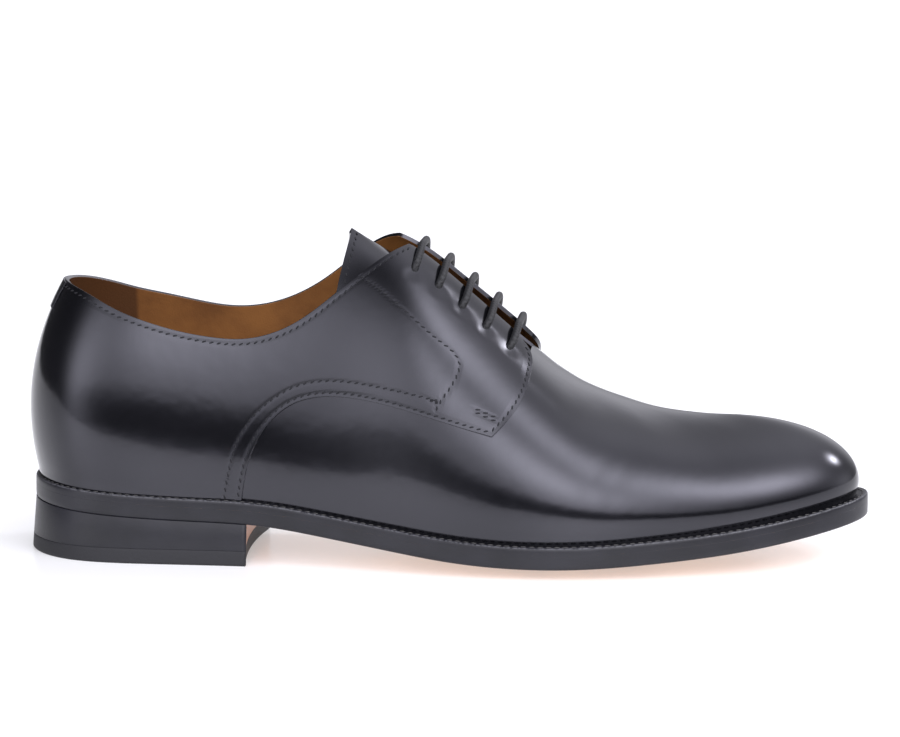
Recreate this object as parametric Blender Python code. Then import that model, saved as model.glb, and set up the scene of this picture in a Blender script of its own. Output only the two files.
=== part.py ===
"""A plain-toe derby shoe for the right foot, in black calf with a tan lining.

+X runs to the toe, -Y is the outer side of the foot and +Z is up. The origin is the centre of
the heel's flat bottom, on the floor. Every shape follows from one form, the last: its sole
outline, its bed, and section curves that run from the welt up to the ridge of the instep.
"""

import bmesh
import bpy
import numpy as np
from mathutils import Matrix, Vector
from mathutils.bvhtree import BVHTree

MM = 0.001

# Lengths and widths of the sole
SOLE_LENGTH = 305 * MM
HEEL_BACK = 39 * MM
HEEL_LENGTH = 82 * MM
HEEL_WIDTH = 70 * MM
WAIST_WIDTH = 70 * MM
BALL_WIDTH = 105 * MM
TOE_WIDTH = 74 * MM

# Heights of the sole
HEEL_RISE = 19.3 * MM
TOE_SPRING = 16.3 * MM
SOLE_CROWN = 4.3 * MM
SOLE_WEAR = 0.4 * MM
OUTSOLE_THICKNESS = 5 * MM
WELT_THICKNESS = 2.7 * MM
INSOLE_THICKNESS = 4.2 * MM
TOP_PIECE_THICKNESS = 5.5 * MM
WELT_LEDGE = 4.4 * MM
HEEL_FLARE = 1.5 * MM
BREAST_HOLLOW = 2.5 * MM

# The last above the welt
INSTEP_HEIGHT = 112 * MM
BACK_HEIGHT = 101 * MM
CONE_BACK = 45 * MM
TOE_POLE = 250 * MM
WALL_FULLNESS = 5 * MM

# Leather
VAMP_WALL = 1.8 * MM
QUARTER_WALL = 2.4 * MM
QUARTER_STEP = 1.1 * MM
TAB_STEP = 0.6 * MM
TAB_HEIGHT = 10 * MM
TAB_WIDTH = 18 * MM
FLAP_LIFT = 3.2 * MM
FLAP_WIDTH = 38 * MM
THROAT_GAP_TOP = 17 * MM
THROAT_GAP_FRONT = 25 * MM
THROAT_BACK = 140 * MM
THROAT_FRONT = 186 * MM
SEAM_GAP = 12 * MM
SEAM_WIDTH = 28 * MM
TONGUE_THICKNESS = 2 * MM
TONGUE_WIDTH = 50 * MM
TONGUE_BACK = 118.5 * MM
TONGUE_CORNER = 6 * MM

# Laces and eyelets
LACE_DIAMETER = 2.8 * MM
LACE_ROWS = 5
EYELET_DIAMETER = 3.6 * MM
EYELET_INSET = 12 * MM
EYELET_BACK = 141 * MM
EYELET_FRONT = 176 * MM

CLEARANCE = 0.3 * MM
LATERAL, MEDIAL = -1, 1

# Sole outline. station is a share of SOLE_LENGTH; each half width is a share of the named width.
# station, width, lateral, medial
SOLE_OUTLINE = (
    (0.00, HEEL_WIDTH, 0.000, 0.000),
    (0.02, HEEL_WIDTH, 0.272, 0.272),
    (0.05, HEEL_WIDTH, 0.402, 0.402),
    (0.10, HEEL_WIDTH, 0.480, 0.480),
    (0.17, HEEL_WIDTH, 0.502, 0.492),
    (0.25, WAIST_WIDTH, 0.515, 0.462),
    (0.33, WAIST_WIDTH, 0.545, 0.430),
    (0.42, WAIST_WIDTH, 0.618, 0.442),
    (0.50, BALL_WIDTH, 0.470, 0.356),
    (0.58, BALL_WIDTH, 0.508, 0.428),
    (0.65, BALL_WIDTH, 0.513, 0.468),
    (0.72, BALL_WIDTH, 0.488, 0.464),
    (0.80, TOE_WIDTH, 0.612, 0.590),
    (0.88, TOE_WIDTH, 0.496, 0.480),
    (0.94, TOE_WIDTH, 0.363, 0.352),
    (0.98, TOE_WIDTH, 0.217, 0.212),
    (1.00, TOE_WIDTH, 0.000, 0.000),
)

# Underside of the sole along its middle. station is a share of SOLE_LENGTH; height is a share
# of the named rise.
# station, rise, height
SOLE_PROFILE = (
    (0.00, HEEL_RISE, 1.000),
    (0.10, HEEL_RISE, 0.880),
    (0.20, HEEL_RISE, 0.805),
    (0.28, HEEL_RISE, 0.735),
    (0.36, HEEL_RISE, 0.525),
    (0.44, HEEL_RISE, 0.280),
    (0.52, HEEL_RISE, 0.070),
    (0.60, SOLE_WEAR, -1.000),
    (0.68, SOLE_WEAR, -0.200),
    (0.76, TOE_SPRING, 0.120),
    (0.84, TOE_SPRING, 0.305),
    (0.92, TOE_SPRING, 0.600),
    (1.00, TOE_SPRING, 1.000),
)

# How far the edge stands above the middle, as a share of SOLE_CROWN.
# station, crown
CROWN_PROFILE = (
    (0.00, 0.00),
    (0.10, 0.05),
    (0.28, 0.15),
    (0.40, 0.45),
    (0.52, 0.86),
    (0.62, 1.00),
    (0.72, 0.97),
    (0.82, 0.80),
    (0.92, 0.48),
    (1.00, 0.00),
)

# Ledge of the welt outside the upper, as a share of WELT_LEDGE.
# station, ledge
LEDGE_PROFILE = (
    (0.00, 0.62),
    (0.12, 0.60),
    (0.28, 0.72),
    (0.42, 0.84),
    (0.56, 0.95),
    (0.75, 1.00),
    (1.00, 1.00),
)

# Ridge of the last. station is a share of SOLE_LENGTH, height a share of INSTEP_HEIGHT.
# station, height
RIDGE_PROFILE = (
    (0.140, 1.244),
    (0.250, 1.239),
    (0.330, 1.179),
    (0.390, 1.087),
    (0.460, 0.979),
    (0.506, 0.886),
    (0.552, 0.783),
    (0.595, 0.683),
    (0.626, 0.616),
    (0.656, 0.566),
    (0.690, 0.527),
    (0.730, 0.493),
    (0.775, 0.472),
    (0.820, 0.465),
)

# Section curves, one row for each place on the sole outline. Each curve leaves the welt outwards,
# and comes over its shoulder to the ridge. bulge is a share of WALL_FULLNESS, rise and drop are
# shares of the section's height, and shoulder is a share of the way from the ridge to the welt.
# station, lateral bulge, medial bulge, rise, lateral shoulder, medial shoulder, drop
SECTIONS = (
    (0.00, 1.80, 1.80, 0.30, 1.04, 1.04, 0.38),
    (0.05, 1.40, 1.40, 0.30, 0.98, 0.98, 0.36),
    (0.12, 0.95, 0.95, 0.30, 0.86, 0.86, 0.33),
    (0.26, 0.60, 0.60, 0.30, 0.75, 0.78, 0.28),
    (0.38, 0.60, 0.80, 0.31, 0.75, 0.82, 0.09),
    (0.46, 0.65, 0.90, 0.32, 0.84, 0.90, -0.02),
    (0.52, 0.72, 1.00, 0.35, 0.79, 0.85, -0.01),
    (0.62, 0.90, 1.00, 0.40, 0.69, 0.74, 0.00),
    (0.72, 1.00, 1.00, 0.45, 0.62, 0.66, 0.00),
    (0.82, 1.05, 1.05, 0.45, 0.62, 0.66, 0.00),
    (0.92, 1.10, 1.10, 0.42, 0.72, 0.74, -0.01),
    (1.00, 1.12, 1.12, 0.41, 0.82, 0.82, -0.02),
)

# Top line in side view. station is a share of SOLE_LENGTH, height a share of BACK_HEIGHT.
# station, lateral height, medial height
TOP_LINE = (
    (-0.100, 0.988, 0.988),
    (0.030, 0.988, 0.988),
    (0.070, 0.958, 0.955),
    (0.112, 0.903, 0.913),
    (0.150, 0.863, 0.888),
    (0.186, 0.834, 0.866),
    (0.223, 0.815, 0.850),
    (0.262, 0.810, 0.856),
    (0.298, 0.833, 0.887),
    (0.334, 0.888, 0.944),
    (0.368, 0.966, 1.022),
    (0.402, 1.046, 1.104),
    (0.432, 1.108, 1.146),
    (0.455, 1.134, 1.148),
    (0.472, 1.138, 1.136),
)

# Front edge of the quarter in side view: the lap line from its foot to the corner, and the flap
# from the corner up. station is a share of SOLE_LENGTH, height a share of BACK_HEIGHT.
# station, height
LAP_LINE = (
    (0.262, -0.100),
    (0.262, 0.230),
    (0.266, 0.320),
    (0.276, 0.420),
    (0.296, 0.520),
    (0.326, 0.590),
    (0.360, 0.615),
    (0.400, 0.612),
    (0.460, 0.580),
    (0.520, 0.532),
    (0.562, 0.499),
)
FLAP_EDGE = (
    (0.562, 0.499),
    (0.585, 0.573),
    (0.599, 0.643),
    (0.603, 0.698),
    (0.597, 0.745),
    (0.580, 0.790),
    (0.550, 1.000),
)

# Tongue. station runs from THROAT_FRONT to TONGUE_BACK, drop is its extra depth under the last
# as a share of QUARTER_WALL, and width is a share of TONGUE_WIDTH.
# station, drop, width
TONGUE_SHAPE = (
    (0.00, 0.00, 0.80),
    (0.25, 0.15, 1.00),
    (0.50, 0.60, 0.98),
    (0.75, 1.00, 0.88),
    (1.00, 0.20, 0.78),
)

# Colour, roughness and metallic value of each material
BLACK_CALF = ("black_calf", (0.012, 0.012, 0.014), 0.3, 0.0)
BLACK_EDGE = ("black_edge", (0.020, 0.020, 0.022), 0.45, 0.0)
TAN_LEATHER = ("tan_leather", (0.55, 0.26, 0.09), 0.55, 0.0)
SOLE_LEATHER = ("sole_leather", (0.60, 0.36, 0.20), 0.5, 0.0)
WAXED_COTTON = ("waxed_cotton", (0.010, 0.010, 0.012), 0.6, 0.0)
HEEL_RUBBER = ("heel_rubber", (0.015, 0.015, 0.016), 0.7, 0.0)


def spline(knots, values, at, flat=False):
    """Cubic spline through a table's points; flat gives it no slope at its ends."""
    knots, values = np.asarray(knots, float), np.asarray(values, float)
    step = np.diff(knots)
    slope = np.diff(values) / step
    count = len(knots)
    matrix, right = np.zeros((count, count)), np.zeros(count)
    for i in range(1, count - 1):
        matrix[i, i - 1 : i + 2] = step[i - 1], 2 * (step[i - 1] + step[i]), step[i]
        right[i] = 6 * (slope[i] - slope[i - 1])
    matrix[0, :2] = (2 * step[0], step[0]) if flat else (1, 0)
    matrix[-1, -2:] = (step[-1], 2 * step[-1]) if flat else (0, 1)
    if flat:
        right[0], right[-1] = 6 * slope[0], -6 * slope[-1]
    bend = np.linalg.solve(matrix, right)
    at = np.clip(at, knots[0], knots[-1])
    i = np.clip(np.searchsorted(knots, at) - 1, 0, count - 2)
    a, b, h = knots[i + 1] - at, at - knots[i], step[i]
    return (
        (bend[i] * a**3 + bend[i + 1] * b**3) / (6 * h)
        + (values[i] / h - bend[i] * h / 6) * a
        + (values[i + 1] / h - bend[i + 1] * h / 6) * b
    )


def column(table, index):
    return np.array([row[index] for row in table], float)


def turn_of(station):
    """Place round the outline, 0 at the heel's back and 1 at the toe, close together at both ends."""
    return np.arccos(np.clip(1 - 2 * np.asarray(station, float), -1, 1)) / np.pi


def station_of(turn):
    return (1 - np.cos(np.pi * np.asarray(turn, float))) / 2


def along(table, index, turn, flat=True):
    """A table's column, read at places round the outline."""
    return spline(turn_of(column(table, 0)), column(table, index), turn, flat)


def half_width(turn, side):
    measure, share = column(SOLE_OUTLINE, 1), column(SOLE_OUTLINE, 2 if side == LATERAL else 3)
    return spline(turn_of(column(SOLE_OUTLINE, 0)), measure * share, turn)


def sole_edge(turn, side):
    x = SOLE_LENGTH * station_of(turn) - HEEL_BACK
    return np.stack([x, side * half_width(turn, side)], axis=-1)


def outward(turn, side):
    """Unit vector square to the sole's outline, pointing away from the foot."""
    reach = 1e-4
    ahead = sole_edge(np.minimum(turn + reach, 1), side) - sole_edge(np.maximum(turn - reach, 0), side)
    ahead /= np.linalg.norm(ahead, axis=-1, keepdims=True)
    return side * np.stack([-ahead[..., 1], ahead[..., 0]], axis=-1)


def outline(turn, side, inset):
    """A point of the outline, moved in from the sole's edge."""
    return sole_edge(turn, side) - outward(turn, side) * np.asarray(inset)[..., None]


def ledge(turn):
    return WELT_LEDGE * along(LEDGE_PROFILE, 1, turn)


def underside(x, y):
    """Height of the outsole's underside before it is worn flat at the ball."""
    station = np.clip((x + HEEL_BACK) / SOLE_LENGTH, 0, 1)
    turn = turn_of(station)
    outer, inner = half_width(turn, LATERAL), half_width(turn, MEDIAL)
    across = np.clip((2 * y + outer - inner) / np.maximum(outer + inner, MM), -1, 1)
    rises = column(SOLE_PROFILE, 1) * column(SOLE_PROFILE, 2)
    middle = spline(column(SOLE_PROFILE, 0), rises, station)
    crown = SOLE_CROWN * spline(column(CROWN_PROFILE, 0), column(CROWN_PROFILE, 1), station)
    return middle + crown * np.sin(np.pi / 2 * across) ** 4


def bed(x, y):
    """Height of the outsole's top face."""
    return underside(x, y) + OUTSOLE_THICKNESS


def ridge(x):
    """Height of the last's ridge, and its slope, at x."""
    def height(at):
        station = (at + HEEL_BACK) / SOLE_LENGTH
        return INSTEP_HEIGHT * spline(column(RIDGE_PROFILE, 0), column(RIDGE_PROFILE, 1), station, flat=True)

    return height(x), (height(x + MM) - height(x - MM)) / (2 * MM)


def last_surface(turn, rise, side):
    """The last's surface: turn goes round the outline, and rise from the welt to the ridge.

    Each section is a cubic Bezier curve in space: foot, a point outwards above it, a point on the
    shoulder, and the ridge.
    """
    turn, rise = np.broadcast_arrays(np.asarray(turn, float), np.asarray(rise, float))
    foot = outline(turn, side, ledge(turn))
    foot_z = bed(foot[..., 0], foot[..., 1]) + WELT_THICKNESS + 2 * CLEARANCE
    top_x = CONE_BACK + (TOE_POLE - CONE_BACK) * station_of(turn) - HEEL_BACK
    top_z, slope = ridge(top_x)
    top = np.stack([top_x, np.zeros_like(top_x)], axis=-1)
    height = top_z - foot_z
    pick = 0 if side == LATERAL else 1
    bulge = WALL_FULLNESS * along(SECTIONS, 1 + pick, turn)
    shoulder = along(SECTIONS, 4 + pick, turn)
    low = foot + outward(turn, side) * bulge[..., None]
    low_z = foot_z + along(SECTIONS, 3, turn) * height
    high = top + (foot - top) * shoulder[..., None]
    high_z = top_z + slope * (high[..., 0] - top_x) - along(SECTIONS, 6, turn) * height
    corners = [
        np.concatenate([plan, z[..., None]], axis=-1)
        for plan, z in ((foot, foot_z), (low, low_z), (high, high_z), (top, top_z))
    ]
    u = rise[..., None]
    weights = ((1 - u) ** 3, 3 * (1 - u) ** 2 * u, 3 * (1 - u) * u**2, u**3)
    return sum(weight * corner for weight, corner in zip(weights, corners))


def material(name, colour, roughness, metallic):
    made = bpy.data.materials.get(name)
    if made is None:
        made = bpy.data.materials.new(name)
        made.use_nodes = True
        shader = made.node_tree.nodes["Principled BSDF"]
        shader.inputs["Base Color"].default_value = (*colour, 1)
        shader.inputs["Roughness"].default_value = roughness
        shader.inputs["Metallic"].default_value = metallic
    return made


def add_mesh(name, points, faces, look):
    """A mesh object whose doubled points are welded and whose faces point outwards."""
    mesh = bpy.data.meshes.new(name)
    mesh.from_pydata([tuple(point) for point in points], [], [tuple(face) for face in faces])
    form = bmesh.new()
    form.from_mesh(mesh)
    bmesh.ops.remove_doubles(form, verts=form.verts, dist=0.01 * MM)
    bmesh.ops.recalc_face_normals(form, faces=form.faces)
    form.to_mesh(mesh)
    form.free()
    mesh.materials.append(material(*look))
    made = bpy.data.objects.new(name, mesh)
    bpy.context.collection.objects.link(made)
    return made


def grid_faces(rows, columns, start=0):
    """Quads between neighbouring points of a grid whose points are numbered row by row."""
    first = start + np.arange(rows - 1)[:, None] * columns + np.arange(columns - 1)
    return np.stack([first, first + 1, first + columns + 1, first + columns], axis=-1).reshape(-1, 4)


def closed_box(lower, upper):
    """Points and faces of the solid between two grids of the same shape."""
    rows, columns = lower.shape[:2]
    count = rows * columns
    index = np.arange(count).reshape(rows, columns)
    rim = np.concatenate([index[0], index[1:, -1], index[-1, -2::-1], index[-2:0:-1, 0]])
    after = np.roll(rim, -1)
    sides = np.stack([rim, after, after + count, rim + count], axis=-1)
    faces = np.concatenate([grid_faces(rows, columns), grid_faces(rows, columns, count)[:, ::-1], sides])
    return np.concatenate([lower.reshape(-1, 3), upper.reshape(-1, 3)]), faces


def combine(target, tool, operation, folded=False):
    """Join, cut or trim target with tool, and remove tool; folded is for walls that touch themselves."""
    modifier = target.modifiers.new(operation, "BOOLEAN")
    modifier.object = tool
    modifier.operation = operation
    modifier.solver = "EXACT"
    modifier.use_self = folded
    evaluated = target.evaluated_get(bpy.context.evaluated_depsgraph_get())
    result = bpy.data.meshes.new_from_object(evaluated)
    target.modifiers.clear()
    target.data = result
    bpy.data.objects.remove(tool)


def surface_tree(target):
    form = bmesh.new()
    form.from_mesh(target.data)
    tree = BVHTree.FromBMesh(form)
    form.free()
    return tree


def plumb(tree, x, y):
    """Where a plumb line meets a surface, and the normal there; a hair aside, clear of its seams."""
    hair = 0.01 * MM
    place, normal, _, _ = tree.ray_cast(Vector((x + hair, y + hair, 2 * BACK_HEIGHT)), Vector((0, 0, -1)))
    return place, normal


def sole_layer(name, look, top, bottom, top_inset, bottom_inset, length=SOLE_LENGTH, hollow=0, across=12):
    """A layer of the sole: rungs from the outer edge to the inner one, from the back to length."""
    turn = np.linspace(0, turn_of(length / SOLE_LENGTH), round(36 * length / SOLE_LENGTH) + 1)
    share = np.linspace(0, 1, across + 1)[:, None]
    faces = []
    for height, inset in ((bottom, bottom_inset), (top, top_inset)):
        outer, inner = (outline(turn, side, inset(turn)) for side in (LATERAL, MEDIAL))
        plan = outer[:, None] * (1 - share) + inner[:, None] * share
        forward = ((plan[..., 0] + HEEL_BACK) / length) ** 2
        plan[..., 0] -= hollow * forward * 4 * share[:, 0] * (1 - share[:, 0])
        faces.append(np.concatenate([plan, height(plan[..., 0], plan[..., 1])[..., None]], axis=-1))
    return add_mesh(name, *closed_box(*faces), look)


def make_outsole():
    def flush(turn):
        return 0 * turn

    def worn(x, y):
        return np.maximum(underside(x, y), 0)

    return sole_layer("outsole", SOLE_LEATHER, bed, worn, flush, flush)


def make_insole():
    def inside(turn):
        return ledge(turn) + VAMP_WALL + CLEARANCE

    def low(x, y):
        return bed(x, y) + CLEARANCE

    def high(x, y):
        return low(x, y) + INSOLE_THICKNESS

    return sole_layer("insole", TAN_LEATHER, high, low, inside, inside, across=8)


def make_heel():
    """The stacked heel under the outsole, and the top piece that it walks on."""
    def level(height):
        return lambda x, y: height + 0 * x

    def flared(height):
        return lambda turn: 0 * turn - HEEL_FLARE * (1 - height / HEEL_RISE)

    def seat(x, y):
        return underside(x, y) - CLEARANCE

    size = {"length": HEEL_LENGTH, "hollow": BREAST_HOLLOW, "across": 8}
    joint = TOP_PIECE_THICKNESS
    sole_layer("heel_stack", BLACK_EDGE, seat, level(joint), flared(HEEL_RISE), flared(joint), **size)
    sole_layer("heel_top_piece", HEEL_RUBBER, level(joint), level(0), flared(joint), flared(0), **size)


def make_welt():
    """The strip round the top of the outsole, from its edge to the inside of the upper's foot."""
    turn = np.linspace(0, 1, 41)
    rings = []
    for inset, lift in ((0, 0), (0, 1), (1, 1), (1, 0)):
        ring = []
        for side in (LATERAL, MEDIAL):
            plan = outline(turn, side, inset * (ledge(turn) + VAMP_WALL))
            z = bed(plan[:, 0], plan[:, 1]) + CLEARANCE + lift * WELT_THICKNESS
            half = np.concatenate([plan, z[:, None]], axis=-1)
            ring.append(half if side == LATERAL else half[-2:0:-1])
        rings.append(np.concatenate(ring))
    count = len(rings[0])
    near = np.arange(count)
    after = np.roll(near, -1)
    faces = []
    for corner in range(4):
        here, there = corner * count, (corner + 1) % 4 * count
        faces.append(np.stack([here + near, here + after, there + after, there + near], axis=-1))
    return add_mesh("welt", np.concatenate(rings), np.concatenate(faces), BLACK_EDGE)


def make_last():
    """The last's surface as an open mesh, both halves welded, seen only while the part is built."""
    columns, rows = 44, 14
    turn, rise = np.meshgrid(np.linspace(0, 1, columns + 1), np.linspace(0, 1, rows + 1), indexing="ij")
    halves = [last_surface(turn, rise, side).reshape(-1, 3) for side in (LATERAL, MEDIAL)]
    faces = np.concatenate([grid_faces(columns + 1, rows + 1), grid_faces(columns + 1, rows + 1, len(halves[0]))])
    last = add_mesh("last", np.concatenate(halves), faces, TAN_LEATHER)
    if sum(face.normal.z * face.area for face in last.data.polygons) < 0:
        last.data.flip_normals()
    return last


def make_shell(name, last, outer, inner):
    """A wall round the last between two depths, open at the foot. Depths are functions of x and y."""
    form = bmesh.new()
    form.from_mesh(last.data)
    points = np.array([vertex.co for vertex in form.verts])
    normals = np.array([vertex.normal for vertex in form.verts])
    at_foot = np.array([vertex.is_boundary for vertex in form.verts])
    faces = [[vertex.index for vertex in face.verts] for face in form.faces]
    rim = [[loop.vert.index for loop in (edge.link_loops[0], edge.link_loops[0].link_loop_next)]
           for edge in form.edges if edge.is_boundary]
    form.free()
    normals[at_foot, 2] = 0
    normals /= np.linalg.norm(normals, axis=1, keepdims=True)
    skins = []
    for depth in (outer, inner):
        skin = points + normals * depth(points[:, 0], points[:, 1])[:, None]
        foot_z = bed(skin[:, 0], skin[:, 1]) + WELT_THICKNESS + 2 * CLEARANCE
        skin[at_foot, 2] = foot_z[at_foot]
        skins.append(skin)
    count = len(points)
    inner_faces = [[index + count for index in reversed(face)] for face in faces]
    sides = [[b, a, a + count, b + count] for a, b in rim]
    return add_mesh(name, np.concatenate(skins), faces + inner_faces + sides, BLACK_CALF)


def prism(name, corners, axis, low, high):
    """A straight-sided solid on a polygon, along Y for a side view and along Z for a plan."""
    def place(corner, depth):
        return (corner[0], depth, corner[1]) if axis == "Y" else (*corner, depth)

    count = len(corners)
    points = [place(corner, depth) for depth in (low, high) for corner in corners]
    around = [(i, (i + 1) % count, (i + 1) % count + count, i + count) for i in range(count)]
    faces = [range(count - 1, -1, -1), range(count, 2 * count), *around]
    return add_mesh(name, points, faces, TAN_LEATHER)


def side_view(table, index, count):
    """A smooth line through a side-view table, from its first row to its last."""
    points = np.stack([column(table, 0) * SOLE_LENGTH - HEEL_BACK, column(table, index) * BACK_HEIGHT], axis=-1)
    length = np.concatenate([[0], np.cumsum(np.linalg.norm(np.diff(points, axis=0), axis=1))])
    at = np.linspace(0, length[-1], count)
    return np.stack([spline(length, points[:, 0], at), spline(length, points[:, 1], at)], axis=-1)


def lift(x, y):
    """How far the flaps stand off the last, over the tongue and the laces' knots."""
    across = np.clip(np.abs(y) / FLAP_WIDTH, 0, 1)
    back = np.clip((x + HEEL_BACK - TONGUE_BACK + FLAP_WIDTH) / FLAP_WIDTH, 0, 1)
    return FLAP_LIFT * (1 - across**2 * (3 - 2 * across)) * back**2 * (3 - 2 * back)


def throat_gap(x):
    """Half the gap between the flaps."""
    share = np.clip((x + HEEL_BACK - THROAT_BACK) / (THROAT_FRONT - THROAT_BACK), -1, 2)
    return (THROAT_GAP_TOP + (THROAT_GAP_FRONT - THROAT_GAP_TOP) * share) / 2


def make_quarters(last):
    """Both quarters: a shell outside the last, behind the lap line and open along the throat."""
    def outside(x, y):
        return QUARTER_STEP + lift(x, y)

    def inside(x, y):
        return outside(x, y) - QUARTER_WALL

    quarters = make_shell("quarters", last, outside, inside)
    lap, flap = side_view(LAP_LINE, 1, 22), side_view(FLAP_EDGE, 1, 10)
    back, low, top = -HEEL_BACK - WELT_LEDGE, lap[0, 1], 2 * BACK_HEIGHT
    corners = [*lap, *flap[1:], (flap[-1, 0], top), (back, top), (back, low)]
    combine(quarters, prism("behind_lap", corners, "Y", -BALL_WIDTH, BALL_WIDTH), "INTERSECT")
    xs = np.array([TONGUE_BACK - FLAP_WIDTH, THROAT_FRONT + FLAP_WIDTH]) - HEEL_BACK
    gaps = throat_gap(xs)
    corners = [(xs[0], -gaps[0]), (xs[1], -gaps[1]), (xs[1], gaps[1]), (xs[0], gaps[0])]
    combine(quarters, prism("throat", corners, "Z", SOLE_CROWN, top), "DIFFERENCE")
    return quarters


def make_back_tab(last):
    """The small tab over the seam at the top of the heel."""
    def outside(x, y):
        return QUARTER_STEP + TAB_STEP + 0 * x

    def inside(x, y):
        return QUARTER_STEP - QUARTER_WALL / 2 + 0 * x

    tab = make_shell("back_tab", last, outside, inside)
    back, front, half = -HEEL_BACK - WELT_LEDGE, -HEEL_BACK + CONE_BACK, TAB_WIDTH / 2
    corners = [(back, -half), (front, -half), (front, half), (back, half)]
    highest = TOP_LINE[0][1] * BACK_HEIGHT
    combine(tab, prism("tab", corners, "Z", highest - TAB_HEIGHT, 2 * BACK_HEIGHT), "INTERSECT")
    return tab


def make_upper(last):
    """The vamp with the quarters and the back tab over it, as one hollow solid."""
    upper = make_shell("upper", last, lambda x, y: 0 * x, lambda x, y: 0 * x - VAMP_WALL)
    back = min(row[0] for row in LAP_LINE) * SOLE_LENGTH - HEEL_BACK - EYELET_INSET
    top, ahead = 2 * BACK_HEIGHT, SOLE_LENGTH
    corners = [(back, -HEEL_RISE), (ahead, -HEEL_RISE), (ahead, top), (back, top)]
    combine(upper, prism("front", corners, "Y", -BALL_WIDTH, BALL_WIDTH), "INTERSECT")
    seam = THROAT_FRONT - EYELET_DIAMETER - HEEL_BACK
    corners = [(seam, -SEAM_GAP), (seam, SEAM_GAP), (seam - SEAM_WIDTH, SEAM_WIDTH), (-HEEL_BACK, SEAM_WIDTH)]
    corners += [(-HEEL_BACK, -SEAM_WIDTH), (seam - SEAM_WIDTH, -SEAM_WIDTH)]
    highest = max(row[1] for row in LAP_LINE) * BACK_HEIGHT
    combine(upper, prism("seam", corners, "Z", highest + 2 * QUARTER_WALL, top), "DIFFERENCE")
    combine(upper, make_quarters(last), "UNION")
    combine(upper, make_back_tab(last), "UNION")
    for side, index in ((LATERAL, 1), (MEDIAL, 2)):
        line = side_view(TOP_LINE, index, 40)
        corners = [*line, (line[-1, 0], top), (line[0, 0], top)]
        limits = sorted((-side * VAMP_WALL, side * BALL_WIDTH))
        combine(upper, prism("above_top_line", corners, "Y", *limits), "DIFFERENCE")
    return upper


def eyelets():
    """Places of the eyelets: x, and the distance from the middle."""
    for x in np.linspace(EYELET_BACK, EYELET_FRONT, LACE_ROWS) - HEEL_BACK:
        yield x, throat_gap(x) + EYELET_INSET


def pierce_eyelets(upper):
    """Blind eyelets: plain round holes, square to the leather."""
    tree = surface_tree(upper)
    drills = bmesh.new()
    size = {"radius1": EYELET_DIAMETER / 2, "radius2": EYELET_DIAMETER / 2, "depth": 4 * QUARTER_WALL}
    for x, reach in eyelets():
        for side in (LATERAL, MEDIAL):
            place, normal = plumb(tree, x, side * reach)
            stand = Matrix.Translation(place) @ normal.to_track_quat("Z", "Y").to_matrix().to_4x4()
            bmesh.ops.create_cone(drills, segments=12, cap_ends=True, matrix=stand, **size)
    mesh = bpy.data.meshes.new("drills")
    drills.to_mesh(mesh)
    drills.free()
    drill = bpy.data.objects.new("drills", mesh)
    bpy.context.collection.objects.link(drill)
    combine(upper, drill, "DIFFERENCE", folded=True)


def make_tongue(last):
    tree = surface_tree(last)
    along_it, across_it = np.linspace(0, 1, 15), np.linspace(-1, 1, 13)
    below, above = (np.zeros((len(along_it), len(across_it), 3)) for _ in range(2))
    for i, share in enumerate(along_it):
        x = THROAT_FRONT + (TONGUE_BACK - THROAT_FRONT) * share - HEEL_BACK
        extra = spline(column(TONGUE_SHAPE, 0), column(TONGUE_SHAPE, 1), share)
        depth = VAMP_WALL + CLEARANCE + extra * QUARTER_WALL
        half = TONGUE_WIDTH / 2 * spline(column(TONGUE_SHAPE, 0), column(TONGUE_SHAPE, 2), share)
        for j, side in enumerate(across_it):
            place, normal = plumb(tree, x - TONGUE_CORNER * (share * side) ** 2, side * half)
            above[i, j] = place - normal * depth
            below[i, j] = place - normal * (depth + TONGUE_THICKNESS)
    return add_mesh("tongue", *closed_box(below, above), BLACK_CALF)


def taut_line(points):
    """The upper side of the convex hull of points, which run from left to right."""
    hull = []
    for point in points:
        while len(hull) > 1:
            (ax, ay), (bx, by) = hull[-2:]
            if (bx - ax) * (point[1] - ay) - (by - ay) * (point[0] - ax) < 0:
                break
            hull.pop()
        hull.append(point)
    return np.array(hull)


def make_lace_bars(upper):
    """Straight bars over the flaps, one at each row of eyelets, each pulled taut over the leather."""
    tree = surface_tree(upper)
    for number, (x, reach) in enumerate(eyelets(), 1):
        touches = []
        for y in np.linspace(-reach, reach, 41):
            place, normal = plumb(tree, x, y)
            if place is not None:
                off = (LACE_DIAMETER / 2 + 2 * CLEARANCE) / (normal.y**2 + normal.z**2)
                touches.append((place.y + off * normal.y, place.z + off * normal.z))
        hull = taut_line(sorted(touches))
        across = np.linspace(hull[0, 0], hull[-1, 0], 17)
        heights = np.interp(across, hull[:, 0], hull[:, 1])
        curve = bpy.data.curves.new(f"lace_bar_{number}", "CURVE")
        curve.dimensions = "3D"
        curve.bevel_depth = LACE_DIAMETER / 2
        curve.bevel_resolution = 2
        curve.use_fill_caps = True
        path = curve.splines.new("POLY")
        path.points.add(len(across) - 1)
        for point, y, height in zip(path.points, across, heights):
            point.co = (x, y, height, 1)
        curve.materials.append(material(*WAXED_COTTON))
        bpy.context.collection.objects.link(bpy.data.objects.new(curve.name, curve))


def finish_shading():
    for made in bpy.data.objects:
        if made.type == "MESH":
            made.data.shade_smooth()
            made.data.set_sharp_from_angle(angle=np.radians(35))


def main():
    for old in list(bpy.data.objects):
        bpy.data.objects.remove(old)
    make_outsole()
    make_insole()
    make_heel()
    make_welt()
    last = make_last()
    upper = make_upper(last)
    pierce_eyelets(upper)
    make_tongue(last)
    make_lace_bars(upper)
    bpy.data.objects.remove(last)
    finish_shading()


main()
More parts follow.
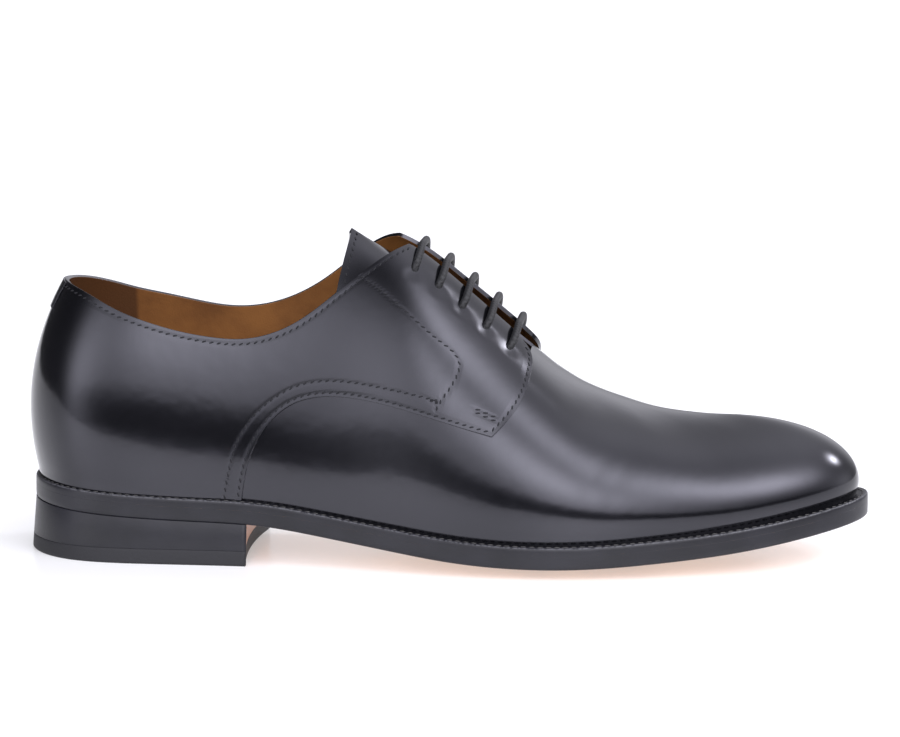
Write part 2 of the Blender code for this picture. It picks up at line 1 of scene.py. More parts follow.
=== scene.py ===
"""A plain-toe derby shoe for the right foot, dressed for the photograph's view.

+X runs to the toe, -Y is the outer side of the foot and +Z is up, in metres, as in the CAD frame.
Every piece of the upper lies on one form, the last, at its own depth. A point of the last is named
by turn, its place round the sole's outline from heel (0) to toe (1), and rise, its place on the
section curve from the welt (0) to the ridge (1).
"""

import logging
from dataclasses import dataclass, field
from enum import IntEnum
from functools import cached_property
from typing import Callable, Sequence

import bmesh
import bpy
import numpy as np
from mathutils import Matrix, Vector


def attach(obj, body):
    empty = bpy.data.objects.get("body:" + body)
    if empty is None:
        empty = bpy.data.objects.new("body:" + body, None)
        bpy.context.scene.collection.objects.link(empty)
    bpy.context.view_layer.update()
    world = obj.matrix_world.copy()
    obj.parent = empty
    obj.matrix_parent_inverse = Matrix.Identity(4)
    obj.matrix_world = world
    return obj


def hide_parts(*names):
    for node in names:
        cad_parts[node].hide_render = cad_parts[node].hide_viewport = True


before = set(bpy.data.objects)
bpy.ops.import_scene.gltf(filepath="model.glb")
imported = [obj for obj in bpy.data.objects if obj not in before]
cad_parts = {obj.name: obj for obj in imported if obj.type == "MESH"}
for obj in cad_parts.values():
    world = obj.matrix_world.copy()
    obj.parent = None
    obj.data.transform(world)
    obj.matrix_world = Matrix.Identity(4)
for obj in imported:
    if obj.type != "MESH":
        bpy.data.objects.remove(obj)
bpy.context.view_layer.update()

MM = 0.001
LOG = logging.getLogger("derby")

# Sole outline: station, named width, lateral and medial half width as shares of it
SOLE_OUTLINE = (
    (0.00, 70, 0.000, 0.000), (0.02, 70, 0.272, 0.272), (0.05, 70, 0.402, 0.402),
    (0.10, 70, 0.480, 0.480), (0.17, 70, 0.502, 0.492), (0.25, 70, 0.515, 0.462),
    (0.33, 70, 0.545, 0.430), (0.42, 70, 0.618, 0.442), (0.50, 105, 0.470, 0.356),
    (0.58, 105, 0.508, 0.428), (0.65, 105, 0.513, 0.468), (0.72, 105, 0.488, 0.464),
    (0.80, 74, 0.612, 0.590), (0.88, 74, 0.496, 0.480), (0.94, 74, 0.363, 0.352),
    (0.98, 74, 0.217, 0.212), (1.00, 74, 0.000, 0.000),
)
# Underside along the middle: station, rise in mm, share of it
SOLE_PROFILE = (
    (0.00, 19.3, 1.000), (0.10, 19.3, 0.880), (0.20, 19.3, 0.805), (0.28, 19.3, 0.735),
    (0.36, 19.3, 0.525), (0.44, 19.3, 0.280), (0.52, 19.3, 0.070), (0.60, 0.4, -1.000),
    (0.68, 0.4, -0.200), (0.76, 16.3, 0.120), (0.84, 16.3, 0.305), (0.92, 16.3, 0.600),
    (1.00, 16.3, 1.000),
)
# station, share of the crown
CROWN_PROFILE = (
    (0.00, 0.00), (0.10, 0.05), (0.28, 0.15), (0.40, 0.45), (0.52, 0.86),
    (0.62, 1.00), (0.72, 0.97), (0.82, 0.80), (0.92, 0.48), (1.00, 0.00),
)
# station, share of the welt's ledge
LEDGE_PROFILE = (
    (0.00, 0.62), (0.12, 0.60), (0.28, 0.72), (0.42, 0.84), (0.56, 0.95), (0.75, 1.00), (1.00, 1.00),
)
# station, share of the instep's height
RIDGE_PROFILE = (
    (0.140, 1.244), (0.250, 1.239), (0.330, 1.179), (0.390, 1.087), (0.460, 0.979),
    (0.506, 0.886), (0.552, 0.783), (0.595, 0.683), (0.626, 0.616), (0.656, 0.566),
    (0.690, 0.527), (0.730, 0.493), (0.775, 0.472), (0.820, 0.465),
)
# station, lateral and medial bulge, rise, lateral and medial shoulder, drop
SECTIONS = (
    (0.00, 1.80, 1.80, 0.30, 1.04, 1.04, 0.38), (0.05, 1.40, 1.40, 0.30, 0.98, 0.98, 0.36),
    (0.12, 0.95, 0.95, 0.30, 0.86, 0.86, 0.33), (0.26, 0.60, 0.60, 0.30, 0.75, 0.78, 0.28),
    (0.38, 0.60, 0.80, 0.31, 0.75, 0.82, 0.09), (0.46, 0.65, 0.90, 0.32, 0.84, 0.90, -0.02),
    (0.52, 0.72, 1.00, 0.35, 0.79, 0.85, -0.01), (0.62, 0.90, 1.00, 0.40, 0.69, 0.74, 0.00),
    (0.72, 1.00, 1.00, 0.45, 0.62, 0.66, 0.00), (0.82, 1.05, 1.05, 0.45, 0.62, 0.66, 0.00),
    (0.92, 1.10, 1.10, 0.42, 0.72, 0.74, -0.01), (1.00, 1.12, 1.12, 0.41, 0.82, 0.82, -0.02),
)
# Top line in side view: station, lateral and medial height as shares of the back's height
TOP_LINE = (
    (-0.100, 0.988, 0.988), (0.030, 0.988, 0.988), (0.070, 0.958, 0.955), (0.112, 0.903, 0.913),
    (0.150, 0.863, 0.888), (0.186, 0.834, 0.866), (0.223, 0.815, 0.850), (0.262, 0.810, 0.856),
    (0.298, 0.833, 0.887), (0.334, 0.888, 0.944), (0.368, 0.966, 1.022), (0.402, 1.046, 1.104),
    (0.432, 1.108, 1.146), (0.455, 1.134, 1.148), (0.472, 1.138, 1.136),
)
# Front edge of the quarter in side view: station, share of the back's height
LAP_LINE = (
    (0.262, -0.100), (0.262, 0.230), (0.266, 0.320), (0.276, 0.420), (0.296, 0.520),
    (0.326, 0.590), (0.360, 0.615), (0.400, 0.612), (0.460, 0.580), (0.520, 0.532), (0.562, 0.499),
)
FLAP_EDGE = (
    (0.562, 0.499), (0.585, 0.573), (0.599, 0.643), (0.6035, 0.698), (0.6040, 0.735),
    (0.600, 0.765), (0.590, 0.800), (0.581, 0.832), (0.573, 0.870), (0.550, 1.000),
)
# Rows of stitching in side view: station, share of the back's height
FACING_SEAM = (
    (0.3990, 1.0360), (0.4281, 0.9818), (0.4639, 0.9005), (0.4989, 0.8164), (0.5170, 0.7700),
    (0.5214, 0.7400), (0.5196, 0.7095), (0.5115, 0.6628), (0.5013, 0.6184), (0.4946, 0.5803),
)
LAP_OUTER = (
    (0.2418, 0.2000), (0.2425, 0.2639), (0.2463, 0.3265), (0.2536, 0.4174), (0.2643, 0.4861),
    (0.2773, 0.5419), (0.2962, 0.5944), (0.3276, 0.6493), (0.3737, 0.6713), (0.4197, 0.6603),
    (0.4656, 0.6380), (0.4990, 0.6180),
)
SHORT_ROWS = (((0.5403, 0.5959), (0.5675, 0.5623)), ((0.5404, 0.5841), (0.5676, 0.5490)))
BAR_TACKS = (((0.4871, 0.6250), (0.4990, 0.6120)), ((0.4870, 0.6200), (0.4990, 0.6070)))

# Tongue from its front to its back: share, extra depth, width share
TONGUE_SHAPE = (
    (0.00, 0.00, 0.80), (0.25, 0.15, 1.00), (0.50, 0.60, 0.98), (0.75, 1.00, 0.92), (1.00, 0.70, 0.86),
)

Depth = Callable[[np.ndarray, np.ndarray], np.ndarray]
Table = Sequence[Sequence[float]]


class Side(IntEnum):
    """The two sides of the shoe, as the sign of y."""

    LATERAL = -1
    MEDIAL = 1


def column(table: Table, index: int) -> np.ndarray:
    """One column of a table as an array."""
    return np.array([row[index] for row in table], float)


def smooth(share: np.ndarray) -> np.ndarray:
    """A soft step: share squared times (3 minus twice share), held between 0 and 1."""
    share = np.clip(share, 0, 1)
    return share**2 * (3 - 2 * share)


class Spline:
    """A cubic spline through a table's points, its bends (second slopes) worked out once."""

    def __init__(self, knots: np.ndarray, values: np.ndarray, flat: bool = False) -> None:
        """Solves for the bends that make neighbouring cubics meet with the same slope.

        Args:
            knots: Places of the points, rising.
            values: Heights of the points.
            flat: True gives no slope at the ends, False no bend.
        """
        self.knots, self.values = np.asarray(knots, float), np.asarray(values, float)
        self.step = step = np.diff(self.knots)
        slope = np.diff(self.values) / step
        count = len(self.knots)
        matrix = np.diag(np.concatenate([[1], 2 * (step[:-1] + step[1:]), [1]]))
        matrix[np.arange(1, count - 1), np.arange(count - 2)] = step[:-1]
        matrix[np.arange(1, count - 1), np.arange(2, count)] = step[1:]
        right = np.concatenate([[0], 6 * np.diff(slope), [0]])
        if flat:
            matrix[0, :2], matrix[-1, -2:] = (2 * step[0], step[0]), (step[-1], 2 * step[-1])
            right[0], right[-1] = 6 * slope[0], -6 * slope[-1]
        self.bend = np.linalg.solve(matrix, right)

    def __call__(self, at: np.ndarray) -> np.ndarray:
        """Height of the spline, held at its ends.

        Args:
            at: Places to read.

        Returns:
            The cubic between the two nearest points, at each place.
        """
        at = np.clip(at, self.knots[0], self.knots[-1])
        i = np.clip(np.searchsorted(self.knots, at) - 1, 0, len(self.step) - 1)
        a, b, h = self.knots[i + 1] - at, at - self.knots[i], self.step[i]
        curved = (self.bend[i] * a**3 + self.bend[i + 1] * b**3) / (6 * h)
        start = self.values[i] / h - self.bend[i] * h / 6
        end = self.values[i + 1] / h - self.bend[i + 1] * h / 6
        return curved + start * a + end * b


def halved(low: np.ndarray, high: np.ndarray, beyond: Callable[[np.ndarray], np.ndarray]) -> np.ndarray:
    """Where a test turns true.

    Args:
        low: Places where it is false.
        high: Places where it is true.
        beyond: The test.

    Returns:
        The last places where it is false, after thirty halvings.
    """
    for _ in range(30):
        middle = (low + high) / 2
        past = beyond(middle)
        low, high = np.where(past, low, middle), np.where(past, middle, high)
    return low


def unit(vectors: np.ndarray) -> np.ndarray:
    """Vectors of length one with the same directions."""
    return vectors / np.maximum(np.linalg.norm(vectors, axis=-1, keepdims=True), 1e-12)


def lengths(path: np.ndarray) -> np.ndarray:
    """Distance along a path to each of its points."""
    return np.concatenate([[0], np.cumsum(np.linalg.norm(np.diff(path, axis=0), axis=-1))])


def resample(path: np.ndarray, count: int) -> np.ndarray:
    """A path's shape, cut into equal steps.

    Args:
        path: Points in rows.
        count: Number of points wanted.

    Returns:
        Points at equal distances along the path.
    """
    along = lengths(path)
    at = np.linspace(0, along[-1], count)
    return np.stack([np.interp(at, along, path[:, k]) for k in range(path.shape[1])], axis=-1)


@dataclass(frozen=True)
class Last:
    """The form that carries the shoe. It repeats the CAD source's formulas."""

    length: float = 305 * MM
    heel_back: float = 39 * MM
    crown: float = 4.3 * MM
    outsole: float = 5 * MM
    welt: float = 2.7 * MM
    welt_ledge: float = 4.4 * MM
    instep: float = 112 * MM
    back: float = 101 * MM
    cone_back: float = 45 * MM
    toe_pole: float = 250 * MM
    fullness: float = 5 * MM
    clearance: float = 0.3 * MM

    def x_of(self, station: np.ndarray) -> np.ndarray:
        """Place along X of a share of the sole's length."""
        return self.length * np.asarray(station, float) - self.heel_back

    @staticmethod
    def turn_of(station: np.ndarray) -> np.ndarray:
        """Place round the outline of a station: the angle whose cosine is 1 - 2 station, over pi."""
        return np.arccos(np.clip(1 - 2 * np.asarray(station, float), -1, 1)) / np.pi

    @staticmethod
    def station_of(turn: np.ndarray) -> np.ndarray:
        """Station of a place round the outline."""
        return (1 - np.cos(np.pi * np.asarray(turn, float))) / 2

    @cached_property
    def curves(self) -> dict[str, Spline]:
        """The tables as splines: over the turn, or over the station for the middle lines."""
        edge, section = self.turn_of(column(SOLE_OUTLINE, 0)), self.turn_of(column(SECTIONS, 0))
        names = ("lateral_bulge", "medial_bulge", "rise", "lateral_shoulder", "medial_shoulder", "drop")
        made = {name: Spline(section, column(SECTIONS, k), flat=True) for k, name in enumerate(names, 1)}
        for index, name in ((2, "lateral_width"), (3, "medial_width")):
            made[name] = Spline(edge, column(SOLE_OUTLINE, 1) * MM * column(SOLE_OUTLINE, index))
        made["ledge"] = Spline(self.turn_of(column(LEDGE_PROFILE, 0)), column(LEDGE_PROFILE, 1), flat=True)
        lift = column(SOLE_PROFILE, 1) * MM * column(SOLE_PROFILE, 2)
        made["middle"] = Spline(column(SOLE_PROFILE, 0), lift)
        made["crown"] = Spline(column(CROWN_PROFILE, 0), column(CROWN_PROFILE, 1))
        made["ridge"] = Spline(column(RIDGE_PROFILE, 0), column(RIDGE_PROFILE, 1), flat=True)
        return made

    def half_width(self, turn: np.ndarray, side: int) -> np.ndarray:
        """Distance from the middle to the sole's edge."""
        return self.curves["lateral_width" if side < 0 else "medial_width"](turn)

    def sole_edge(self, turn: np.ndarray, side: int) -> np.ndarray:
        """Plan of the sole's edge."""
        return np.stack([self.x_of(self.station_of(turn)), side * self.half_width(turn, side)], axis=-1)

    def outward(self, turn: np.ndarray, side: int) -> np.ndarray:
        """Plan direction square to the sole's edge, away from the foot."""
        reach = 1e-4
        ahead = self.sole_edge(np.minimum(turn + reach, 1), side)
        ahead = unit(ahead - self.sole_edge(np.maximum(turn - reach, 0), side))
        return side * np.stack([-ahead[..., 1], ahead[..., 0]], axis=-1)

    def outline(self, turn: np.ndarray, side: int, inset: np.ndarray) -> np.ndarray:
        """Plan of the sole's edge moved in by inset."""
        return self.sole_edge(turn, side) - self.outward(turn, side) * np.asarray(inset)[..., None]

    def ledge(self, turn: np.ndarray) -> np.ndarray:
        """Width of the welt outside the upper."""
        return self.welt_ledge * self.curves["ledge"](turn)

    def underside(self, x: np.ndarray, y: np.ndarray) -> np.ndarray:
        """Height of the sole's underside: its middle line, and a crown that lifts its edges.

        Args:
            x: Places along X.
            y: Places along Y.

        Returns:
            Middle height plus crown times the fourth power of a sine of the share across.
        """
        station = np.clip((x + self.heel_back) / self.length, 0, 1)
        turn = self.turn_of(station)
        outer, inner = self.half_width(turn, Side.LATERAL), self.half_width(turn, Side.MEDIAL)
        across = np.clip((2 * y + outer - inner) / np.maximum(outer + inner, MM), -1, 1)
        crown = self.crown * self.curves["crown"](station)
        return self.curves["middle"](station) + crown * np.sin(np.pi / 2 * across) ** 4

    def bed(self, x: np.ndarray, y: np.ndarray) -> np.ndarray:
        """Height of the outsole's top face."""
        return self.underside(x, y) + self.outsole

    def ridge(self, x: np.ndarray) -> tuple[np.ndarray, np.ndarray]:
        """Height of the ridge and its slope."""

        def height(at: np.ndarray) -> np.ndarray:
            """Ridge height at x."""
            return self.instep * self.curves["ridge"]((at + self.heel_back) / self.length)

        return height(x), (height(x + MM) - height(x - MM)) / (2 * MM)

    def surface(self, turn: np.ndarray, rise: np.ndarray, side: int) -> np.ndarray:
        """Points of the last: each section is a cubic Bezier curve from its foot to the ridge.

        Args:
            turn: Places round the outline.
            rise: Places from the welt to the ridge.
            side: Which side of the shoe.

        Returns:
            Points: the four corners of each section, weighted by Bernstein's polynomials of rise.
        """
        turn, rise = np.broadcast_arrays(np.asarray(turn, float), np.asarray(rise, float))
        foot = self.outline(turn, side, self.ledge(turn))
        foot_z = self.bed(foot[..., 0], foot[..., 1]) + self.welt + 2 * self.clearance
        top_x = self.cone_back + (self.toe_pole - self.cone_back) * self.station_of(turn) - self.heel_back
        top_z, slope = self.ridge(top_x)
        top = np.stack([top_x, np.zeros_like(top_x)], axis=-1)
        height = top_z - foot_z
        name = "lateral" if side < 0 else "medial"
        bulge = self.fullness * self.curves[f"{name}_bulge"](turn)
        shoulder = self.curves[f"{name}_shoulder"](turn)
        low = foot + self.outward(turn, side) * bulge[..., None]
        low_z = foot_z + self.curves["rise"](turn) * height
        high = top + (foot - top) * shoulder[..., None]
        high_z = top_z + slope * (high[..., 0] - top_x) - self.curves["drop"](turn) * height
        corners = [
            np.concatenate([plan, z[..., None]], axis=-1)
            for plan, z in ((foot, foot_z), (low, low_z), (high, high_z), (top, top_z))
        ]
        u = rise[..., None]
        weights = ((1 - u) ** 3, 3 * (1 - u) ** 2 * u, 3 * (1 - u) * u**2, u**3)
        return sum(weight * corner for weight, corner in zip(weights, corners))

    def normal(self, turn: np.ndarray, rise: np.ndarray, side: int) -> np.ndarray:
        """Outward unit normals of the last.

        Args:
            turn: Places round the outline.
            rise: Places from the welt to the ridge.
            side: Which side of the shoe.

        Returns:
            The cross product of the two slopes, level near the foot, and with no part across the
            shoe at the heel's back, the toe and the ridge, where the two sides meet.
        """
        turn, rise = np.broadcast_arrays(np.asarray(turn, float), np.asarray(rise, float))
        reach, pole, foot = 2e-3, 0.985, 0.05
        t = np.where((turn > pole) & (rise > pole), pole, turn)
        r = np.where((turn > pole) & (rise > pole), pole, rise)
        ahead = self.surface(np.minimum(t + reach, 1), r, side)
        ahead = ahead - self.surface(np.maximum(t - reach, 0), r, side)
        above = self.surface(t, np.minimum(r + reach, 1), side)
        above = above - self.surface(t, np.maximum(r - reach, 0), side)
        square = -side * np.cross(ahead, above)
        square[..., 2] *= smooth(rise / foot)
        seam = (turn < reach) | (turn > 1 - reach) | (rise > 1 - reach)
        square[..., 1] = np.where(seam, 0, square[..., 1])
        return unit(square)


@dataclass(frozen=True)
class Skin:
    """A surface that follows the last at a depth, above it where the depth is positive."""

    last: Last
    depth: Depth
    tuck: float = 1.0 * MM
    tuck_height: float = 0.03

    def at(self, turn: np.ndarray, rise: np.ndarray, side: int) -> np.ndarray:
        """Points of the skin; its foot is tucked a little into the welt.

        Args:
            turn: Places round the outline.
            rise: Places from the welt to the ridge.
            side: Which side of the shoe.

        Returns:
            Points of the last moved along its normals by the depth there.
        """
        base = self.last.surface(turn, rise, side)
        out = base + self.last.normal(turn, rise, side) * self.depth(base[..., 0], base[..., 1])[..., None]
        foot = 1 - smooth(np.broadcast_to(rise, out.shape[:-1]) / self.tuck_height)
        level = self.last.bed(out[..., 0], out[..., 1]) + self.last.welt + 2 * self.last.clearance - self.tuck
        out[..., 2] += foot * (level - out[..., 2])
        return out

    def find(
        self, targets: np.ndarray, axes: tuple[int, int], side: int, furthest: float = 1.0
    ) -> tuple[np.ndarray, np.ndarray]:
        """Places whose points have given coordinates, by Newton's method from the nearest of a net.

        Args:
            targets: Wanted pairs of coordinates.
            axes: Which two coordinates are given.
            side: Which side of the shoe.
            furthest: Greatest turn to start from.

        Returns:
            Turn and rise of each target.
        """
        starts = np.linspace(0, furthest, 121), np.linspace(0, 1, 61)
        net_turn, net_rise = np.meshgrid(*starts, indexing="ij")
        net = self.at(net_turn, net_rise, side)[..., axes].reshape(-1, 2)
        near = np.argmin(((targets[:, None] - net) ** 2).sum(axis=-1), axis=1)
        turn, rise = net_turn.ravel()[near], net_rise.ravel()[near]
        reach, near_enough = 1e-4, 0.001 * MM
        turn_limit, rise_limit = 0.03, 0.05
        for _ in range(14):
            here = self.at(turn, rise, side)[:, axes]
            if np.abs(targets - here).max() < near_enough:
                break
            back_turn = np.where(turn > 0.5, -reach, reach)
            back_rise = np.where(rise > 0.5, -reach, reach)
            by_turn = (self.at(turn + back_turn, rise, side)[:, axes] - here) / back_turn[:, None]
            by_rise = (self.at(turn, rise + back_rise, side)[:, axes] - here) / back_rise[:, None]
            miss = targets - here
            area = by_turn[:, 0] * by_rise[:, 1] - by_turn[:, 1] * by_rise[:, 0]
            area = np.where(np.abs(area) < 1e-9, 1e-9, area)
            turn_step = (miss[:, 0] * by_rise[:, 1] - miss[:, 1] * by_rise[:, 0]) / area
            rise_step = (by_turn[:, 0] * miss[:, 1] - by_turn[:, 1] * miss[:, 0]) / area
            turn = np.clip(turn + np.clip(turn_step, -turn_limit, turn_limit), 0, 1)
            rise = np.clip(rise + np.clip(rise_step, -rise_limit, rise_limit), 0, 1)
        return turn, rise


def distance_to(points: np.ndarray, path: np.ndarray) -> np.ndarray:
    """Distance of points from a path.

    Args:
        points: Points in an array of any shape.
        path: Points along the path.

    Returns:
        For each point the least distance to the path's short pieces: what is left of the way to a
        piece's start after its share along the piece is taken off.
    """
    start, piece = path[:-1], np.diff(path, axis=0)
    flat = points.reshape(-1, 3)
    best = np.full(len(flat), np.inf)
    for block in np.array_split(np.arange(len(flat)), max(1, len(flat) // 2000)):
        way = flat[block][:, None] - start
        share = np.clip((way * piece).sum(axis=-1) / np.maximum((piece**2).sum(axis=-1), 1e-12), 0, 1)
        best[block] = np.linalg.norm(way - share[..., None] * piece, axis=-1).min(axis=1)
    return best.reshape(points.shape[:-1])


def grid_faces(rows: int, columns: int, start: int = 0, flip: bool = False) -> np.ndarray:
    """Quads between neighbouring points of a grid.

    Args:
        rows: Number of rows.
        columns: Number of columns.
        start: Number of the grid's first point.
        flip: True turns the quads over.

    Returns:
        Four point numbers for each quad.
    """
    first = start + np.arange(rows - 1)[:, None] * columns + np.arange(columns - 1)
    faces = np.stack([first, first + 1, first + columns + 1, first + columns], axis=-1).reshape(-1, 4)
    return faces[:, ::-1] if flip else faces


def placed(name: str, data: bpy.types.ID) -> bpy.types.Object:
    """A new object, linked to the scene."""
    made = bpy.data.objects.new(name, data)
    bpy.context.scene.collection.objects.link(made)
    return made


def rim_of(grid: np.ndarray) -> np.ndarray:
    """The points round the edge of a grid, once each, as a closed ring."""
    return np.concatenate([grid[0], grid[1:, -1], grid[-1, -2::-1], grid[-2:0:-1, 0]])


@dataclass
class Body:
    """Points, faces and values of a piece, gathered before its mesh is made."""

    points: list[np.ndarray] = field(default_factory=list)
    faces: list[np.ndarray] = field(default_factory=list)
    looks: list[np.ndarray] = field(default_factory=list)
    values: dict[str, list[np.ndarray]] = field(default_factory=dict)
    count: int = 0

    def add(self, points: np.ndarray, faces: np.ndarray, look: int = 0, **values: np.ndarray) -> None:
        """Adds points and faces.

        Args:
            points: Points in rows.
            faces: Quads that number them from 0.
            look: Material slot of the faces.
            values: A number for each point under each attribute's name.
        """
        points = points.reshape(-1, 3)
        self.points.append(points)
        self.faces.append(np.asarray(faces) + self.count)
        self.looks.append(np.full(len(faces), look))
        for name, value in values.items():
            self.values.setdefault(name, []).append(np.broadcast_to(value, points.shape[:-1]).ravel())
        self.count += len(points)

    def add_grid(self, points: np.ndarray, flip: bool = False, look: int = 0, **values: np.ndarray) -> None:
        """Adds a grid of points as a sheet of quads."""
        flat = {name: np.asarray(value, float).ravel() for name, value in values.items()}
        self.add(points, grid_faces(*points.shape[:2], flip=flip), look, **flat)

    def build(self, name: str, materials: Sequence[bpy.types.Material], slot: str, nodes: Sequence[str] = (),
              weld: float = 0.02 * MM) -> bpy.types.Object:
        """Makes the piece.

        Args:
            name: Name of the piece.
            materials: Its materials in slot order.
            slot: The record's material slot it stands for; not used.
            nodes: CAD nodes it replaces.
            weld: Points nearer than this become one.

        Returns:
            The new object, riding on the shoe's one body.
        """
        mesh = bpy.data.meshes.new(name)
        mesh.from_pydata(np.concatenate(self.points).tolist(), [], np.concatenate(self.faces).tolist())
        mesh.polygons.foreach_set("material_index", np.concatenate(self.looks).astype(np.int32))
        for key, parts in self.values.items():
            data = mesh.attributes.new(key, "FLOAT", "POINT").data
            data.foreach_set("value", np.concatenate(parts).astype(np.float32))
        form = bmesh.new()
        form.from_mesh(mesh)
        if weld:
            bmesh.ops.remove_doubles(form, verts=form.verts, dist=weld)
        bmesh.ops.dissolve_degenerate(form, edges=form.edges, dist=1e-7)
        bmesh.ops.delete(form, geom=[point for point in form.verts if not point.link_faces], context="VERTS")
        form.to_mesh(mesh)
        form.free()
        for look in materials:
            mesh.materials.append(look)
        mesh.shade_smooth()
        LOG.info("%s: %d faces", name, len(mesh.polygons))
        piece = placed(name, mesh)
        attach(piece, "root")
        if nodes:
            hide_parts(*nodes)
        return piece


# --- finishes ---------------------------------------------------------------------------------


class Signal:
    """A shader socket that takes part in Python arithmetic."""

    def __init__(self, shader: "Nodes", socket: bpy.types.NodeSocket) -> None:
        """Keeps the shader and the socket."""
        self.shader, self.socket = shader, socket

    def _math(self, operation: str, first: object, second: object = 0.0) -> "Signal":
        """One Math node."""
        return self.shader.node("ShaderNodeMath", {"operation": operation}, {0: first, 1: second}, 0)

    def __add__(self, other: object) -> "Signal":
        """Sum."""
        return self._math("ADD", self, other)

    def __sub__(self, other: object) -> "Signal":
        """Difference."""
        return self._math("SUBTRACT", self, other)

    def __mul__(self, other: object) -> "Signal":
        """Product."""
        return self._math("MULTIPLY", self, other)

    def wave(self) -> "Signal":
        """Sine."""
        return self._math("SINE", self)

    def exponent(self) -> "Signal":
        """The number e to this power."""
        return self._math("EXPONENT", self)

    def upper(self, other: object) -> "Signal":
        """The greater of the two."""
        return self._math("MAXIMUM", self, other)

    def ease(self, start: float, end: float) -> "Signal":
        """A soft step from 0 to 1 as the value goes from start to end."""
        settings = {"interpolation_type": "SMOOTHSTEP", "clamp": True}
        return self.shader.node("ShaderNodeMapRange", settings, {0: self, 1: start, 2: end}, 0)


class Nodes:
    """A node tree that is built with Python expressions."""

    def __init__(self, tree: bpy.types.NodeTree) -> None:
        """Keeps the tree."""
        self.tree = tree

    def node(self, kind: str, settings: dict, sockets: dict, out: int | str) -> Signal:
        """Adds a node.

        Args:
            kind: Node type.
            settings: Properties, set first.
            sockets: Values or signals by input name or number.
            out: Output to use.

        Returns:
            The output as a signal.
        """
        made = self.tree.nodes.new(kind)
        for key, value in settings.items():
            setattr(made, key, value)
        for key, value in sockets.items():
            self.feed(made.inputs[key], value)
        return Signal(self, made.outputs[out])

    def feed(self, socket: bpy.types.NodeSocket, value: object) -> None:
        """Links a signal to a socket, or sets a plain value on it."""
        if isinstance(value, Signal):
            self.tree.links.new(value.socket, socket)
        else:
            socket.default_value = value


class Shader(Nodes):
    """The node tree of one material, with a Principled BSDF."""

    def __init__(self, name: str) -> None:
        """Makes the material with its output and main shader."""
        self.material = bpy.data.materials.new(name)
        self.material.use_nodes = True
        super().__init__(self.material.node_tree)
        self.main = self.tree.nodes["Principled BSDF"]

    def place(self) -> Signal:
        """Object coordinates."""
        return self.node("ShaderNodeTexCoord", {}, {}, "Object")

    def axis(self, name: str) -> Signal:
        """One of the object coordinates."""
        return self.node("ShaderNodeSeparateXYZ", {}, {0: self.place()}, name)

    def value(self, name: str) -> Signal:
        """A number kept on the mesh's points."""
        return self.node("ShaderNodeAttribute", {"attribute_name": name}, {}, "Fac")

    def noise(self, scale: float, detail: float = 3.0, rough: float = 0.5) -> Signal:
        """Cloudy noise between 0 and 1 over object coordinates."""
        sockets = {"Vector": self.place(), "Scale": scale, "Detail": detail, "Roughness": rough}
        return self.node("ShaderNodeTexNoise", {}, sockets, 0)

    def cells(self, scale: float) -> Signal:
        """Distance in a cell pattern over object coordinates."""
        return self.node("ShaderNodeTexVoronoi", {}, {"Vector": self.place(), "Scale": scale}, "Distance")

    def mix(self, share: object, first: object, second: object) -> Signal:
        """A colour between two, each a signal or its red, green and blue."""
        first, second = (end if isinstance(end, Signal) else colour(*end) for end in (first, second))
        return self.node("ShaderNodeMix", {"data_type": "RGBA"}, {0: share, 6: first, 7: second}, 2)

    def bump(self, height: Signal, depth: float, under: Signal | None = None) -> Signal:
        """A normal bent by a height between 0 and 1 that stands for depth metres, over another."""
        sockets = {"Height": height, "Distance": depth, "Strength": 1.0}
        return self.node("ShaderNodeBump", {}, sockets | ({"Normal": under} if under else {}), 0)

    def dress(self, **inputs: object) -> bpy.types.Material:
        """Feeds the main shader's inputs, named with underscores, and gives the material."""
        for key, value in inputs.items():
            self.feed(self.main.inputs[key.replace("_", " ")], value)
        return self.material


def colour(red: float, green: float, blue: float) -> tuple[float, float, float, float]:
    """An opaque colour."""
    return red, green, blue, 1.0


@dataclass(frozen=True)
class PolishedCalf:
    """Black calf, glazed and polished: fine grain, broad soft shine, grooves along the stitching."""

    name: str = "polished_calf"
    roughness: float = 0.15
    coat: float = 0.30
    coat_roughness: float = 0.08
    dark: tuple = (0.0028, 0.0029, 0.0038)
    pale: tuple = (0.0042, 0.0043, 0.0055)

    def make(self) -> bpy.types.Material:
        """The material."""
        shader = Shader(self.name)
        grain = shader.cells(2300.0) * 0.5 + shader.noise(1100.0, 4.0) * 0.6
        ripple = shader.noise(95.0, 2.0)
        groove = shader.value("groove")
        cloud = shader.noise(26.0, 3.0)
        tone = shader.mix(cloud.ease(0.35, 0.7), self.dark, self.pale)
        rough = cloud * 0.05 + shader.noise(260.0, 3.0) * 0.04 + groove * 0.12 + (self.roughness - 0.045)
        fine = shader.bump(grain, 0.006 * MM)
        soft = shader.bump(ripple - groove * 0.8, 0.10 * MM, fine)
        return shader.dress(
            Base_Color=tone, Roughness=rough, Normal=soft, Coat_Weight=self.coat,
            Coat_Roughness=self.coat_roughness, Coat_IOR=1.5, Specular_Tint=colour(0.88, 0.875, 1.0),
        )


@dataclass(frozen=True)
class Thread:
    """Fine black sewing thread."""

    name: str = "thread"
    dark: tuple = (0.010, 0.010, 0.012)
    pale: tuple = (0.030, 0.030, 0.034)

    def make(self) -> bpy.types.Material:
        """The material."""
        shader = Shader(self.name)
        twist = shader.noise(2400.0, 2.0)
        tone = shader.mix(twist, self.dark, self.pale)
        ply = shader.bump(twist, 0.05 * MM)
        return shader.dress(Base_Color=tone, Roughness=0.75, Specular_IOR_Level=0.25, Normal=ply)


